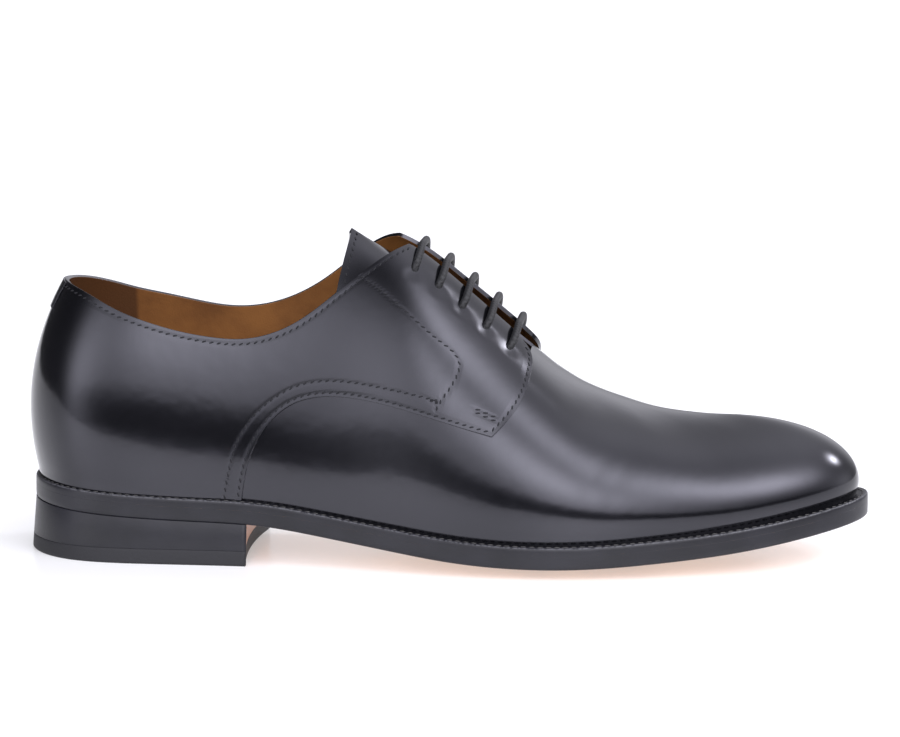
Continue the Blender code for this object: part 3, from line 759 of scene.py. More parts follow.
@dataclass(frozen=True)
class EdgeDye:
    """Black dye and wax on a cut edge, brushed along it; on the welt's crest, a lighter grey that paints a
    highlight.
    """

    name: str = "edge_dye"
    dark: tuple = (0.007, 0.007, 0.010)
    pale: tuple = (0.012, 0.012, 0.017)
    natural: tuple = (0.50, 0.22, 0.10)
    crest_highlight_grey: tuple = (0.11, 0.11, 0.12)
    roughness: float = 0.36

    def make(self) -> bpy.types.Material:
        """The material."""
        shader = Shader(self.name)
        cloud = shader.noise(60.0, 3.0)
        scratch = shader.noise(900.0, 3.0)
        tone = shader.mix(cloud.ease(0.3, 0.75), self.dark, self.pale)
        tone = shader.mix(shader.value("breast"), tone, self.natural)
        # Painted highlight: a lighter grey on the welt's crest ring, broken up by scratch noise.
        tone = shader.mix(shader.value("worn") * scratch.ease(0.3, 0.62), tone, self.crest_highlight_grey)
        rough = scratch * 0.12 + (self.roughness - 0.06)
        return shader.dress(
            Base_Color=tone, Roughness=rough, Specular_IOR_Level=0.4, Normal=shader.bump(scratch, 0.025 * MM)
        )


@dataclass(frozen=True)
class TanLeather:
    """Vegetable tanned lining leather."""

    name: str = "tan_lining"
    light: tuple = (0.30, 0.125, 0.034)
    dark: tuple = (0.17, 0.066, 0.018)
    roughness: float = 0.5
    heel_end_tone: tuple = (0.10, 0.040, 0.013)
    heel_end_span: tuple = (-0.006, -0.004)

    def make(self) -> bpy.types.Material:
        """The material."""
        shader = Shader(self.name)
        cloud = shader.noise(38.0, 4.0, 0.6)
        grain = shader.cells(1500.0) * 0.6 + shader.noise(700.0, 4.0) * 0.6
        tone = shader.mix(cloud.ease(0.3, 0.75), self.light, self.dark)
        # Darker brown behind x = -6 mm, towards the heel end.
        tone = shader.mix(shader.axis("X").ease(*self.heel_end_span), self.heel_end_tone, tone)
        rough = cloud * 0.15 + (self.roughness - 0.07)
        return shader.dress(Base_Color=tone, Roughness=rough, Normal=shader.bump(grain, 0.05 * MM))


@dataclass(frozen=True)
class WaxedCord:
    """Round braided lace of waxed cotton: two sets of strands that cross on the tube's own map."""

    name: str = "waxed_cord"
    pitch: float = 1.5 * MM
    strands: int = 8
    dark: tuple = (0.003, 0.003, 0.0035)
    pale: tuple = (0.014, 0.014, 0.016)

    def make(self) -> bpy.types.Material:
        """The material."""
        shader = Shader(self.name)
        along = shader.value("along") * (2 * np.pi / self.pitch)
        around = shader.value("around") * (2 * np.pi * self.strands / 2)
        right, left = (along + around).wave(), (along - around).wave()
        weave = right.upper(left) * 0.5 + 0.5
        tone = shader.mix(weave, self.dark, self.pale)
        return shader.dress(Base_Color=tone, Roughness=0.55, Normal=shader.bump(weave, 0.12 * MM))


@dataclass(frozen=True)
class Rubber:
    """Moulded black rubber of the heel's top piece."""

    name: str = "heel_rubber"
    dark: tuple = (0.007, 0.007, 0.009)
    pale: tuple = (0.014, 0.014, 0.018)

    def make(self) -> bpy.types.Material:
        """The material."""
        shader = Shader(self.name)
        speck = shader.noise(1200.0, 4.0)
        tone = shader.mix(speck, self.dark, self.pale)
        return shader.dress(Base_Color=tone, Roughness=0.62, Normal=shader.bump(speck, 0.08 * MM))


@dataclass(frozen=True)
class Finishes:
    """Every material of the shoe, made once."""

    calf: bpy.types.Material
    edge: bpy.types.Material
    lining: bpy.types.Material
    sole: bpy.types.Material
    cord: bpy.types.Material
    rubber: bpy.types.Material
    thread: bpy.types.Material
    welt_thread: bpy.types.Material

    @classmethod
    def make(cls) -> "Finishes":
        """Makes the materials."""
        sole = TanLeather("sole_leather", (0.56, 0.33, 0.18), (0.42, 0.22, 0.11), 0.42)
        bold = Thread("welt_thread", (0.030, 0.030, 0.032), (0.13, 0.125, 0.12))
        looks = (PolishedCalf(), EdgeDye(), TanLeather(), sole, WaxedCord(), Rubber(), Thread(), bold)
        return cls(*(look.make() for look in looks))


# --- the upper --------------------------------------------------------------------------------


def leather(body: Body, name: str, finishes: Finishes, wall: float, round_off: float,
            nodes: Sequence[str] = (), inner: int = 1) -> None:
    """Makes a piece of black calf from its outer sheet, with a wall inwards and rounded cut edges.

    Args:
        body: The sheet.
        name: Name of the piece.
        finishes: The materials.
        wall: Thickness.
        round_off: Width of the rounding.
        nodes: CAD nodes it replaces.
        inner: 1 lines the inside with tan leather, 0 leaves it black.
    """
    piece = body.build(name, (finishes.calf, finishes.lining, finishes.calf), "black_calf", nodes)
    solid = piece.modifiers.new("wall", "SOLIDIFY")
    solid.thickness, solid.offset, solid.use_even_offset = wall, -1, False
    solid.use_quality_normals = True
    solid.material_offset, solid.material_offset_rim = inner, 2
    bevel = piece.modifiers.new("cut_edge", "BEVEL")
    bevel.width, bevel.segments, bevel.limit_method = round_off, 3, "ANGLE"
    bevel.angle_limit, bevel.harden_normals = np.radians(48), True


@dataclass(frozen=True)
class Flaps:
    """How the facings stand off the last, and the gap between them."""

    step: float = 1.1 * MM
    lift: float = 3.2 * MM
    width: float = 38 * MM
    tongue_back: float = 118.5 * MM
    gap_top: float = 17 * MM
    gap_front: float = 25 * MM
    throat_back: float = 140 * MM
    throat_front: float = 186 * MM
    heel_back: float = 39 * MM
    eyelet_back: float = 141 * MM
    eyelet_front: float = 176 * MM
    eyelet_inset: float = 12 * MM
    eyelet_rows: int = 5

    def depth(self, x: np.ndarray, y: np.ndarray) -> np.ndarray:
        """Height of the quarter's outside: its step, and a lift that fades away from the throat."""
        across = 1 - smooth(np.abs(y) / self.width)
        back = smooth((x + self.heel_back - self.tongue_back + self.width) / self.width)
        return self.step + self.lift * across * back

    def eyelets(self, last: Last) -> np.ndarray:
        """Plan of one side's eyelets: x, and distance from the middle line."""
        x = np.linspace(self.eyelet_back, self.eyelet_front, self.eyelet_rows) - last.heel_back
        return np.stack([x, self.gap(x) + self.eyelet_inset], axis=-1)

    def gap(self, x: np.ndarray) -> np.ndarray:
        """Half the gap between the flaps."""
        share = (x + self.heel_back - self.throat_back) / (self.throat_front - self.throat_back)
        share = np.clip(share, -1, 2)
        return (self.gap_top + (self.gap_front - self.gap_top) * share) / 2


def side_view(last: Last, table: Table, index: int, count: int) -> np.ndarray:
    """A smooth line through a side-view table.

    Args:
        last: The last, for its sizes.
        table: Stations and shares of the back's height.
        index: Column of the heights.
        count: Number of points.

    Returns:
        x and z of points spaced evenly between the table's ends.
    """
    points = np.stack([last.x_of(column(table, 0)), column(table, index) * last.back], axis=-1)
    along = lengths(points)
    at = np.linspace(0, along[-1], count)
    return np.stack([Spline(along, points[:, 0])(at), Spline(along, points[:, 1])(at)], axis=-1)


@dataclass
class Quarters:
    """Both quarters, welded at the heel: from the foot and the lap line to the top line and throat."""

    last: Last
    flaps: Flaps
    columns: int = 176
    rows: int = 60
    wall: float = 1.6 * MM
    facing_end: float = 0.606
    crowding: float = 0.55
    top_inset: float = 2.0 * MM
    flap_inset: float = 1.5 * MM
    lap_inset: float = 1.35 * MM
    groove: float = 0.7 * MM
    throat_start: float = 50 * MM
    throat_margin: float = 0.4 * MM
    # dimple round an eyelet: depth and width, then its lip's height, radius and width, in mm
    dimple: tuple = (0.28, 2.3, 0.06, 3.8, 1.4)
    outside: Skin = field(init=False)
    places: dict[int, np.ndarray] = field(init=False, default_factory=dict)

    def __post_init__(self) -> None:
        """Makes the outer skin."""
        self.outside = Skin(self.last, self.flaps.depth)

    def on(self, places: np.ndarray, side: int) -> np.ndarray:
        """Points of the outside at pairs of turn and rise."""
        return self.outside.at(places[..., 0], places[..., 1], side)

    def found(self, targets: np.ndarray, axes: tuple[int, int], side: int) -> np.ndarray:
        """Pairs of turn and rise whose points have the given coordinates."""
        return np.stack(self.outside.find(targets, axes, side), axis=-1)

    def top_edge(self, side: int) -> np.ndarray:
        """The top line from the heel to the facing, then the facing to its front, as turn and rise.

        Args:
            side: Which side of the shoe.

        Returns:
            Pairs of turn and rise.
        """
        index = 1 if side < 0 else 2
        line = side_view(self.last, TOP_LINE, index, 400)
        turn = np.linspace(0, 0.62, 500)

        def above(rise: np.ndarray) -> np.ndarray:
            """True over the top line."""
            point = self.outside.at(turn, rise, side)
            return point[:, 2] > np.interp(point[:, 0], line[:, 0], line[:, 1])

        top = np.stack([turn, halved(np.zeros_like(turn), np.ones_like(turn), above)], axis=-1)
        point = self.on(top, side)
        behind = point[:, 0] < self.flaps.tongue_back - self.last.heel_back
        kept = behind | (np.abs(point[:, 1]) > self.flaps.gap(point[:, 0]))
        kept[np.argmin(kept) :] = False
        top = top[kept]
        flap = side_view(self.last, FLAP_EDGE, 1, 200)
        xs = np.linspace(self.on(top[-1:], side)[0, 0], self.last.x_of(self.facing_end), 160)
        facing = self.found(np.stack([xs, side * self.flaps.gap(xs)], axis=-1), (0, 1), side)
        point = self.on(facing, side)
        edge_x = np.interp(point[:, 2], flap[:, 1], flap[:, 0])
        facing = facing[point[:, 0] < edge_x]
        return np.concatenate([top, facing[1:]])

    def bottom_edge(self, side: int) -> np.ndarray:
        """The foot from the heel to the lap line, then the lap line to its corner.

        Args:
            side: Which side of the shoe.

        Returns:
            Pairs of turn and rise.
        """
        lap = side_view(self.last, LAP_LINE, 1, 200)
        foot = self.outside.at(np.linspace(0, 0.5, 300), 0.0, side)
        start = np.interp(lap[0, 0], foot[:, 0], np.linspace(0, 0.5, 300))
        foot_z = np.interp(lap[0, 0], foot[:, 0], foot[:, 2])
        lap = lap[lap[:, 1] > foot_z + 1.2 * MM]
        floor = np.stack([np.linspace(0, start, 150), np.zeros(150)], axis=-1)
        return np.concatenate([floor, self.found(lap, (0, 2), side)])

    def even(self, path: np.ndarray, side: int, count: int, crowd: float = 0.0) -> np.ndarray:
        """A path of places cut into steps of equal real length, or crowded towards its start.

        Args:
            path: Turn and rise along the path.
            side: Which side of the shoe.
            count: Number of places.
            crowd: 0 for equal steps; the length share is share times (1 - crowd + crowd * share).

        Returns:
            Turn and rise of each place.
        """
        along = lengths(self.on(path, side))
        share = np.linspace(0, 1, count)
        at = along[-1] * share * (1 - crowd + crowd * share)
        return np.stack([np.interp(at, along, path[:, 0]), np.interp(at, along, path[:, 1])], axis=-1)

    def patch(self, side: int) -> np.ndarray:
        """Turn and rise of the quarter's net.

        Args:
            side: Which side of the shoe.

        Returns:
            A net ruled between the bottom and top edges, with the front edge's bow blended into its
            last columns: ruled place plus bow times the eighth power of the share along.
        """
        bottom = self.even(self.bottom_edge(side), side, self.columns)
        top = self.even(self.top_edge(side), side, self.columns, self.crowding)
        share = np.linspace(0, 1, self.rows)[:, None]
        net = bottom[:, None] * (1 - share) + top[:, None] * share
        flap = side_view(self.last, FLAP_EDGE, 1, 300)
        flap = flap[flap[:, 1] < self.on(top[-1:], side)[0, 2]]
        front = np.concatenate([bottom[-1:], self.found(flap, (0, 2), side)[1:], top[-1:]])
        front = self.even(front, side, self.rows)
        weight = np.linspace(0, 1, self.columns)[:, None, None] ** 8
        return net + (front - net[-1])[None] * weight

    def inner_row(self, path: np.ndarray, inner: np.ndarray, side: int, inset: float) -> np.ndarray:
        """A row of stitching at one distance inside an edge of the patch.

        Args:
            path: Turn and rise along the edge.
            inner: Turn and rise along a line of the net inside the edge.
            side: Which side of the shoe.
            inset: Distance from the edge.

        Returns:
            Turn and rise of the row: each point of the edge moved square to it, in the surface.
        """
        point = self.on(path, side)
        square = self.last.normal(path[:, 0], path[:, 1], side)
        inwards = np.cross(unit(np.gradient(point, axis=0)), square)
        reach = 1e-3
        by_turn = (self.on(path + (reach, 0), side) - point) / reach
        by_rise = (point - self.on(path - (0, reach), side)) / reach
        inwards *= np.sign((inwards * (self.on(inner, side) - point)).sum(axis=-1).mean())
        step = np.linalg.pinv(np.stack([by_turn, by_rise], axis=-1)) @ (inwards * inset)[..., None]
        return path + step[..., 0]

    def side_row(self, table: Table, side: int) -> np.ndarray:
        """Turn and rise of a smooth row given in side view."""
        count = 90
        if len(table) > 2:
            line = side_view(self.last, table, 1, count)
        else:
            line = np.stack([self.last.x_of(column(table, 0)), column(table, 1) * self.last.back], axis=-1)
        return self.found(resample(line, count), (0, 2), side)

    def seams(self, side: int) -> list[np.ndarray]:
        """Turn and rise along every row of stitching of one quarter.

        Args:
            side: Which side of the shoe.

        Returns:
            The top line and throat, the lap line, the flap's front, and the rows given in side view.
        """
        net, inner, corner = self.places[side], 5, 8
        top, under = net[2:-1, -1], net[2:-1, -1 - inner]
        point = self.on(top, side)
        edge = self.flaps.gap(point[:, 0]) + self.throat_margin
        free = (point[:, 0] < self.throat_start) | (np.abs(point[:, 1]) > edge)
        lap, over = net[:, 0], net[:, inner]
        point = self.on(lap, side)
        foot = self.outside.at(np.linspace(0, 0.6, 200), 0.0, side)
        off = point[:, 2] > np.interp(point[:, 0], foot[:, 0], foot[:, 2]) + MM
        rows = [
            self.inner_row(top[free], under[free], side, self.top_inset),
            self.inner_row(net[-1, 1:-corner], net[-1 - inner, 1:-corner], side, self.flap_inset),
            self.inner_row(lap[off][:-1], over[off][:-1], side, self.lap_inset),
        ]
        rows += [self.side_row(table, side) for table in (FACING_SEAM, LAP_OUTER, *SHORT_ROWS, *BAR_TACKS)]
        return rows

    def rows_of(self, side: int) -> list[np.ndarray]:
        """Points along every row of stitching."""
        return [self.on(row, side) for row in self.seams(side)]

    def sew(self, stitching: "Stitching") -> None:
        """Sews every row of both quarters."""
        for side in Side:
            for row in self.seams(side):
                stitching.sew(self.on(row, side), self.last.normal(row[:, 0], row[:, 1], side))

    def build(self, finishes: Finishes) -> None:
        """Makes the piece, with a dimple at each eyelet: Gaussians of the distance from its middle."""
        body = Body()
        deep, wide, high, ring, narrow = self.dimple
        for side in Side:
            net = self.patch(side)
            self.places[side] = net
            points = self.on(net, side)
            away = np.min([distance_to(points, path) for path in self.rows_of(side)], axis=0)
            holes = self.flaps.eyelets(self.last) * (1, side)
            for hole in self.on(self.found(holes, (0, 1), side), side):
                reach = np.linalg.norm(points - hole, axis=-1) / MM
                sunk = deep * np.exp(-((reach / wide) ** 2)) - high * np.exp(-(((reach - ring) / narrow) ** 2))
                points = points - self.last.normal(net[..., 0], net[..., 1], side) * sunk[..., None] * MM
            body.add_grid(points, flip=side < 0, groove=np.exp(-((away / self.groove) ** 2)))
        leather(body, "calf_quarters", finishes, self.wall, 0.6 * MM, ["upper"])


@dataclass
class Vamp:
    """The vamp: one piece over the toe, whose back edge lies under the quarters."""

    last: Last
    flaps: Flaps
    columns: int = 150
    rows: int = 76
    wall: float = 1.0 * MM
    seam: float = 182.4 * MM
    cover: float = 14 * MM
    tuck: float = 9 * MM
    overlap: float = 1.5 * MM
    back_station: float = 0.225
    lap_foot: float = 0.24
    creases: tuple = (
        # x and y of the middle, direction, length, width, depth, in mm and degrees
        (158, -8, 82, 26, 3.2, 0.12), (166, -20, 70, 22, 3.0, 0.09), (151, 14, 100, 24, 3.2, 0.12),
        (170, -43, 50, 12, 3.0, 0.06), (178, -42, 54, 11, 2.8, 0.05),
    )

    def depth(self, x: np.ndarray, y: np.ndarray) -> np.ndarray:
        """Soft troughs across the flex of the vamp: each is a Gaussian across and along its line."""
        total = np.zeros_like(x)
        for cx, cy, angle, length, width, deep in self.creases:
            c, s = np.cos(np.radians(angle)), np.sin(np.radians(angle))
            along = ((x - cx * MM) * c + (y - cy * MM) * s) / (length * MM)
            across = ((y - cy * MM) * c - (x - cx * MM) * s) / (width * MM)
            total -= deep * MM * np.exp(-(along**2) - across**2) * (1 - 0.8 * np.exp(-((across - 1.4) ** 2)))
        return total

    def seam_turn(self, skin: Skin, rise: np.ndarray, side: int) -> np.ndarray:
        """Turn of the throat seam at each rise: straight across to the flaps, then along a section.

        Args:
            skin: The vamp's surface.
            rise: Rises of the net's rows, from 0 to 1.
            side: Which side of the shoe.

        Returns:
            Turn of the seam, by halving, at each rise.
        """
        seam_x = self.seam - self.last.heel_back
        start, end = np.full_like(rise, 0.4), np.full_like(rise, 0.8)
        turn = halved(start, end, lambda at: skin.at(at, rise, side)[:, 0] > seam_x)
        first = int(np.argmax(np.abs(skin.at(turn, rise, side)[:, 1]) < self.cover))
        return np.where(np.arange(len(rise)) < first, turn[first], turn)

    def build(self, finishes: Finishes) -> None:
        """Makes the piece: a net before the seam, and one behind it that the quarters cover."""
        skin = Skin(self.last, self.depth)
        start = self.last.turn_of(self.back_station)
        rise = np.linspace(0, 1, self.rows)
        lap = side_view(self.last, LAP_LINE, 1, 200)
        rising = lap[lap[:, 1] > self.lap_foot * self.last.back]
        flap = side_view(self.last, FLAP_EDGE, 1, 200)
        body = Body()
        for side in Side:
            seam = self.seam_turn(skin, rise, side)
            share = np.linspace(0, 1, self.columns)[:, None]
            body.add_grid(skin.at(seam + (1 - seam) * share, rise + 0 * share, side), flip=side < 0)
            share = np.linspace(0, 1, self.columns // 2)[:, None]
            points = skin.at(start + (seam - start) * share, rise + 0 * share, side)
            x, y, z = np.moveaxis(points, -1, 0)
            below = z < np.interp(x + self.tuck, rising[:, 0], rising[:, 1]) + self.tuck
            below &= x > rising[0, 0] - self.tuck
            before = (x > np.interp(z, flap[:, 1], flap[:, 0]) - self.tuck) & (z > flap[0, 1] - self.tuck)
            kept = (below | before) & (np.abs(y) > self.cover - self.overlap)
            kept = kept[1:, 1:] & kept[:-1, 1:] & kept[1:, :-1] & kept[:-1, :-1]
            faces = grid_faces(*points.shape[:2], flip=side < 0).reshape(*kept.shape, 4)
            body.add(points, faces[kept])
        leather(body, "calf_vamp", finishes, self.wall, 0.3 * MM)


@dataclass
class BackTab:
    """The small tab sewn over the seam at the top of the heel."""

    last: Last
    width: float = 18 * MM
    height: float = 10 * MM
    step: float = 1.75 * MM
    wall: float = 1.2 * MM

    def build(self, finishes: Finishes) -> None:
        """Makes the piece: a net in back view, y across and z up, from its foot to the top line."""
        skin = Skin(self.last, lambda x, y: self.step + 0 * x)
        top = TOP_LINE[0][1] * self.last.back
        body = Body()
        for side in Side:
            across = np.linspace(0, self.width / 2, 15)
            up = np.linspace(0, 1, 17)
            y = np.repeat(across[:, None], len(up), axis=1) * side
            line = np.full_like(y, top)
            for _ in range(2):
                z = line - self.height * (1 - up[None])
                turn, rise = skin.find(np.stack([y.ravel(), z.ravel()], axis=-1), (1, 2), side, 0.25)
                points = skin.at(turn, rise, side).reshape(*y.shape, 3)
                station = (points[:, -1, 0] + self.last.heel_back) / self.last.length
                heights = column(TOP_LINE, 1) * self.last.back
                line = np.interp(station, column(TOP_LINE, 0), heights)[:, None] + 0 * y
            body.add_grid(points, flip=side < 0)
        leather(body, "calf_back_tab", finishes, self.wall, 0.35 * MM, inner=0)


@dataclass
class Tongue:
    """The tongue, from its seam with the vamp to its free end above the instep."""

    last: Last
    flaps: Flaps
    width: float = 50 * MM
    wall: float = 2.0 * MM
    corner: float = 6 * MM
    sink: float = 2.1 * MM
    extra: float = 2.4 * MM
    inner_corner: float = -0.4
    hook: float = 1.3

    def build(self, finishes: Finishes, stitching: "Stitching") -> None:
        """Makes the piece: a net in plan, laid on the last at the tongue's own depth."""
        share, across = np.meshgrid(np.linspace(0, 1, 70), np.linspace(0, 1, 27), indexing="ij")
        front, back = self.flaps.throat_front, self.flaps.tongue_back
        x = front + (back - front) * share - self.last.heel_back
        half = self.width / 2 * Spline(column(TONGUE_SHAPE, 0), column(TONGUE_SHAPE, 2))(share)
        deep = self.sink + self.extra * Spline(column(TONGUE_SHAPE, 0), column(TONGUE_SHAPE, 1))(share)
        body = Body()
        bare = Skin(self.last, lambda x, y: 0 * x)
        for side in Side:
            skew = self.corner * (1.0 if side < 0 else self.inner_corner) * (share * across) ** self.hook
            plan = np.stack([(x - skew).ravel(), (side * across * half).ravel()], axis=-1)
            turn, rise = bare.find(plan, (0, 1), side)
            square = self.last.normal(turn, rise, side)
            fade = np.minimum(1, 3 * across.ravel())
            square = unit(square * np.stack([np.ones(x.size), fade, np.ones(x.size)], axis=-1))
            points = (bare.at(turn, rise, side) - square * deep.reshape(-1, 1)).reshape(*x.shape, 3)
            body.add_grid(points, flip=side < 0)
            square = square.reshape(*x.shape, 3)
            row = np.concatenate([points[20:-2, -3], points[-3, -3::-1]])
            sewn = np.concatenate([square[20:-2, -3], square[-3, -3::-1]])
            stitching.sew(row, sewn)
        leather(body, "calf_tongue", finishes, self.wall, 0.6 * MM, ["tongue"])


@dataclass
class Stitching:
    """Rows of stitches: each is a small bead of thread laid on the leather."""

    length: float = 1.7 * MM
    width: float = 0.62 * MM
    height: float = 0.5 * MM
    pitch: float = 2.7 * MM
    tilt: float = 24.0
    proud: float = 0.02
    body: Body = field(default_factory=Body)

    @staticmethod
    def bead() -> np.ndarray:
        """A net of a rounded rod, one long and one wide: along by minus cosine, radius by sine."""
        along, around = np.meshgrid(np.linspace(0, 1, 6), np.linspace(0, 1, 7), indexing="ij")
        wide = np.sin(np.pi * along) ** 0.6 / 2
        angle = 2 * np.pi * around
        return np.stack([-np.cos(np.pi * along) / 2, wide * np.cos(angle), wide * np.sin(angle)], axis=-1)

    def sew(self, path: np.ndarray, square: np.ndarray, pitch: float = 0.0) -> None:
        """Adds a row.

        Args:
            path: Points along the row, on the leather.
            square: Normals of the leather there.
            pitch: Length of a stitch with its gap, or 0 for the usual one.
        """
        along = lengths(path)
        count = max(2, round(along[-1] / (pitch or self.pitch)))
        at = (np.arange(count) + 0.5) * along[-1] / count
        scale = along[-1] / count / self.pitch
        middle = np.stack([np.interp(at, along, path[:, k]) for k in range(3)], axis=-1)
        up = unit(np.stack([np.interp(at, along, square[:, k]) for k in range(3)], axis=-1))
        ahead = np.stack([np.interp(at, along, np.gradient(path[:, k], along)) for k in range(3)], axis=-1)
        ahead = unit(ahead - (ahead * up).sum(axis=-1, keepdims=True) * up)
        aside = np.cross(up, ahead)
        c, s = np.cos(np.radians(self.tilt)), np.sin(np.radians(self.tilt))
        along, across = ahead * c + aside * s, aside * c - ahead * s
        axes = np.stack([along * self.length * scale, across * self.width, up * self.height], axis=1)
        bead = self.bead()
        nets = np.einsum("rcx,nxk->nrck", bead, axes) + middle[:, None, None]
        nets = nets + up[:, None, None] * self.proud * MM
        faces = grid_faces(*bead.shape[:2])
        size = bead.shape[0] * bead.shape[1]
        self.body.add(nets, (faces[None] + (np.arange(count) * size)[:, None, None]).reshape(-1, 4))

    def build(self, name: str, look: bpy.types.Material, slot: str) -> None:
        """Makes the piece from the rows."""
        self.body.build(name, (look,), slot, weld=0.001 * MM)


# --- the sole ---------------------------------------------------------------------------------


@dataclass
class SoleLayer:
    """A layer of the sole: two faces on a ladder net, and an edge carried round them."""

    last: Last
    name: str
    slot: str
    top: Callable[[np.ndarray, np.ndarray], np.ndarray]
    bottom: Callable[[np.ndarray, np.ndarray], np.ndarray]
    inset: Callable[[np.ndarray, float], np.ndarray]
    edge: tuple
    length: float = 305 * MM
    hollow: float = 0.0
    rungs: int = 150
    across: int = 24

    def plan(self, share: float, outset: float) -> np.ndarray:
        """The ladder net in plan: rungs from the outer edge to the inner one.

        Args:
            share: Height share, 0 at the bottom and 1 at the top.
            outset: How far the edge is moved out.

        Returns:
            x and y of a net; its front is hollowed by a parabola across.
        """
        turn = np.linspace(0, self.last.turn_of(self.length / self.last.length), self.rungs)
        step = np.linspace(0, 1, self.across + 1)[:, None]
        outer, inner = (self.last.outline(turn, side, self.inset(turn, share) - outset) for side in Side)
        net = outer[:, None] * (1 - step) + inner[:, None] * step
        forward = ((net[..., 0] + self.last.heel_back) / self.length) ** 2
        bow = self.hollow * 4 * step[:, 0] * (1 - step[:, 0]) - outset * (self.hollow > 0)
        net[..., 0] -= bow * forward
        return net

    def net(self, share: float, outset: float) -> np.ndarray:
        """The net at a height share: its height is between the bottom and top faces'."""
        plan = self.plan(share, outset)
        low, high = self.bottom(plan[..., 0], plan[..., 1]), self.top(plan[..., 0], plan[..., 1])
        return np.concatenate([plan, (low + (high - low) * share)[..., None]], axis=-1)

    def build(self, materials: Sequence[bpy.types.Material], nodes: Sequence[str]) -> None:
        """Makes the piece.

        Args:
            materials: Materials of the bottom, the edge and the top.
            nodes: CAD nodes it replaces.
        """
        body = Body()
        low, high = self.net(0, self.edge[0][1] * MM), self.net(1, self.edge[-1][1] * MM)
        plain = np.zeros(low.shape[:2])
        body.add_grid(low, flip=False, look=0, breast=plain)
        body.add_grid(high, flip=True, look=2, breast=plain)
        rings = np.stack([rim_of(self.net(share, outset * MM)) for share, outset in self.edge])
        rings = np.concatenate([rings, rings[:, :1]], axis=1)
        front = np.zeros((self.rungs, self.across + 1))
        front[-1, 1:-1] = self.hollow > 0
        front = rim_of(front[..., None])[..., 0]
        breast = np.broadcast_to(np.append(front, front[0]), rings.shape[:2])
        body.add_grid(rings, flip=True, look=1, breast=breast)
        body.build(self.name, materials, self.slot, nodes)


@dataclass
class Welt:
    """The strip round the sole's top, between the outsole's edge and the upper."""

    last: Last
    columns: int = 900
    reach: float = 1.8 * MM
    crest: int = 4
    seam_share: float = 0.42
    seam_height: float = 2.68 * MM

    def build(self, finishes: Finishes, stitching: Stitching) -> None:
        """Makes the piece: a rounded section carried round the outline, with a row of stitches."""
        # place across from the edge (0) to the inside (1), outset, height
        section = ((0, 0.04, -0.3), (0, 0.05, 0.5), (0, 0.02, 1.3), (0, -0.05, 2.1), (0.02, -0.15, 2.55),
                   (0.1, 0, 2.85), (0.3, 0, 2.7), (0.6, 0, 2.65), (1, 0, 2.7), (1, 0, 0.1))
        turn = np.linspace(0, 1, self.columns)
        body = Body()
        for side in Side:
            rings = []
            for across, outset, height in section:
                inset = across * (self.last.ledge(turn) + self.reach) - outset * MM
                plan = self.last.outline(turn, side, inset)
                z = self.last.bed(plan[:, 0], plan[:, 1]) + self.last.clearance + height * MM
                rings.append(np.concatenate([plan, z[:, None]], axis=-1))
            net = np.stack(rings, axis=1)
            # Marks the crest ring, where the edge dye paints a lighter grey highlight.
            worn = np.broadcast_to(np.arange(len(section)) == self.crest, net.shape[:2]) * 1.0
            body.add_grid(net, flip=side < 0, worn=worn)
            plan = self.last.outline(turn, side, self.seam_share * self.last.ledge(turn))
            z = self.last.bed(plan[:, 0], plan[:, 1]) + self.last.clearance + self.seam_height
            row = np.concatenate([plan, z[:, None]], axis=-1)
            stitching.sew(row, np.zeros_like(row) + (0, 0, 1))
        body.build("stitched_welt", (finishes.edge,), "black_edge", ["welt"])


@dataclass
class Sole:
    """The outsole, the insole and the heel."""

    last: Last
    heel_length: float = 82 * MM
    heel_rise: float = 19.3 * MM
    top_piece: float = 5.5 * MM
    flare: float = 1.5 * MM
    hollow: float = 2.5 * MM
    insole: float = 4.2 * MM
    vamp_wall: float = 1.8 * MM

    def build(self, finishes: Finishes) -> None:
        """Makes the layers."""
        last, clear = self.last, self.last.clearance
        round_edge = ((0, -0.35), (0.05, -0.12), (0.12, 0.0), (0.45, 0.06), (0.985, 0.05), (1, 0.05))

        def worn(x: np.ndarray, y: np.ndarray) -> np.ndarray:
            """The underside, worn flat where it meets the floor."""
            return np.maximum(last.underside(x, y), 0)

        def flush(turn: np.ndarray, share: float) -> np.ndarray:
            """No inset."""
            return 0 * turn

        outsole = SoleLayer(last, "leather_outsole", "sole_leather", last.bed, worn, flush, round_edge)
        outsole.build((finishes.sole, finishes.edge, finishes.sole), ["outsole"])

        def inside(turn: np.ndarray, share: float) -> np.ndarray:
            """Within the upper."""
            return last.ledge(turn) + self.vamp_wall + clear

        insole = SoleLayer(
            last, "leather_insole", "tan_leather", lambda x, y: last.bed(x, y) + clear + self.insole,
            lambda x, y: last.bed(x, y) + clear, inside, ((0, 0), (1, 0)),
        )
        insole.build((finishes.lining,) * 3, ["insole"])

        def flared(low: float, high: float) -> Callable[[np.ndarray, float], np.ndarray]:
            """Inset that follows the heel's slanting side between two heights."""
            return lambda turn, share: (
                0 * turn - self.flare * (1 - (low + (high - low) * share) / self.heel_rise)
            )

        joint = self.top_piece
        heel = {"length": self.heel_length, "hollow": self.hollow, "rungs": 90}
        stack = SoleLayer(
            last, "heel_lifts", "black_edge", lambda x, y: last.underside(x, y) - clear * 0.2,
            lambda x, y: joint + 0 * x, flared(joint, self.heel_rise),
            ((0, -0.06), (0.02, 0), (0.5, 0), (0.98, 0), (1, -0.06)), **heel,
        )
        stack.build((finishes.edge,) * 3, ["heel_stack"])
        piece = SoleLayer(
            last, "rubber_top_piece", "heel_rubber", lambda x, y: joint + 0 * x, lambda x, y: 0 * x,
            flared(0, joint), ((0, -0.5), (0.07, -0.1), (0.2, 0), (0.8, 0), (0.96, 0), (1, -0.06)), **heel,
        )
        piece.build((finishes.rubber,) * 3, ["heel_top_piece"])


# --- the laces --------------------------------------------------------------------------------


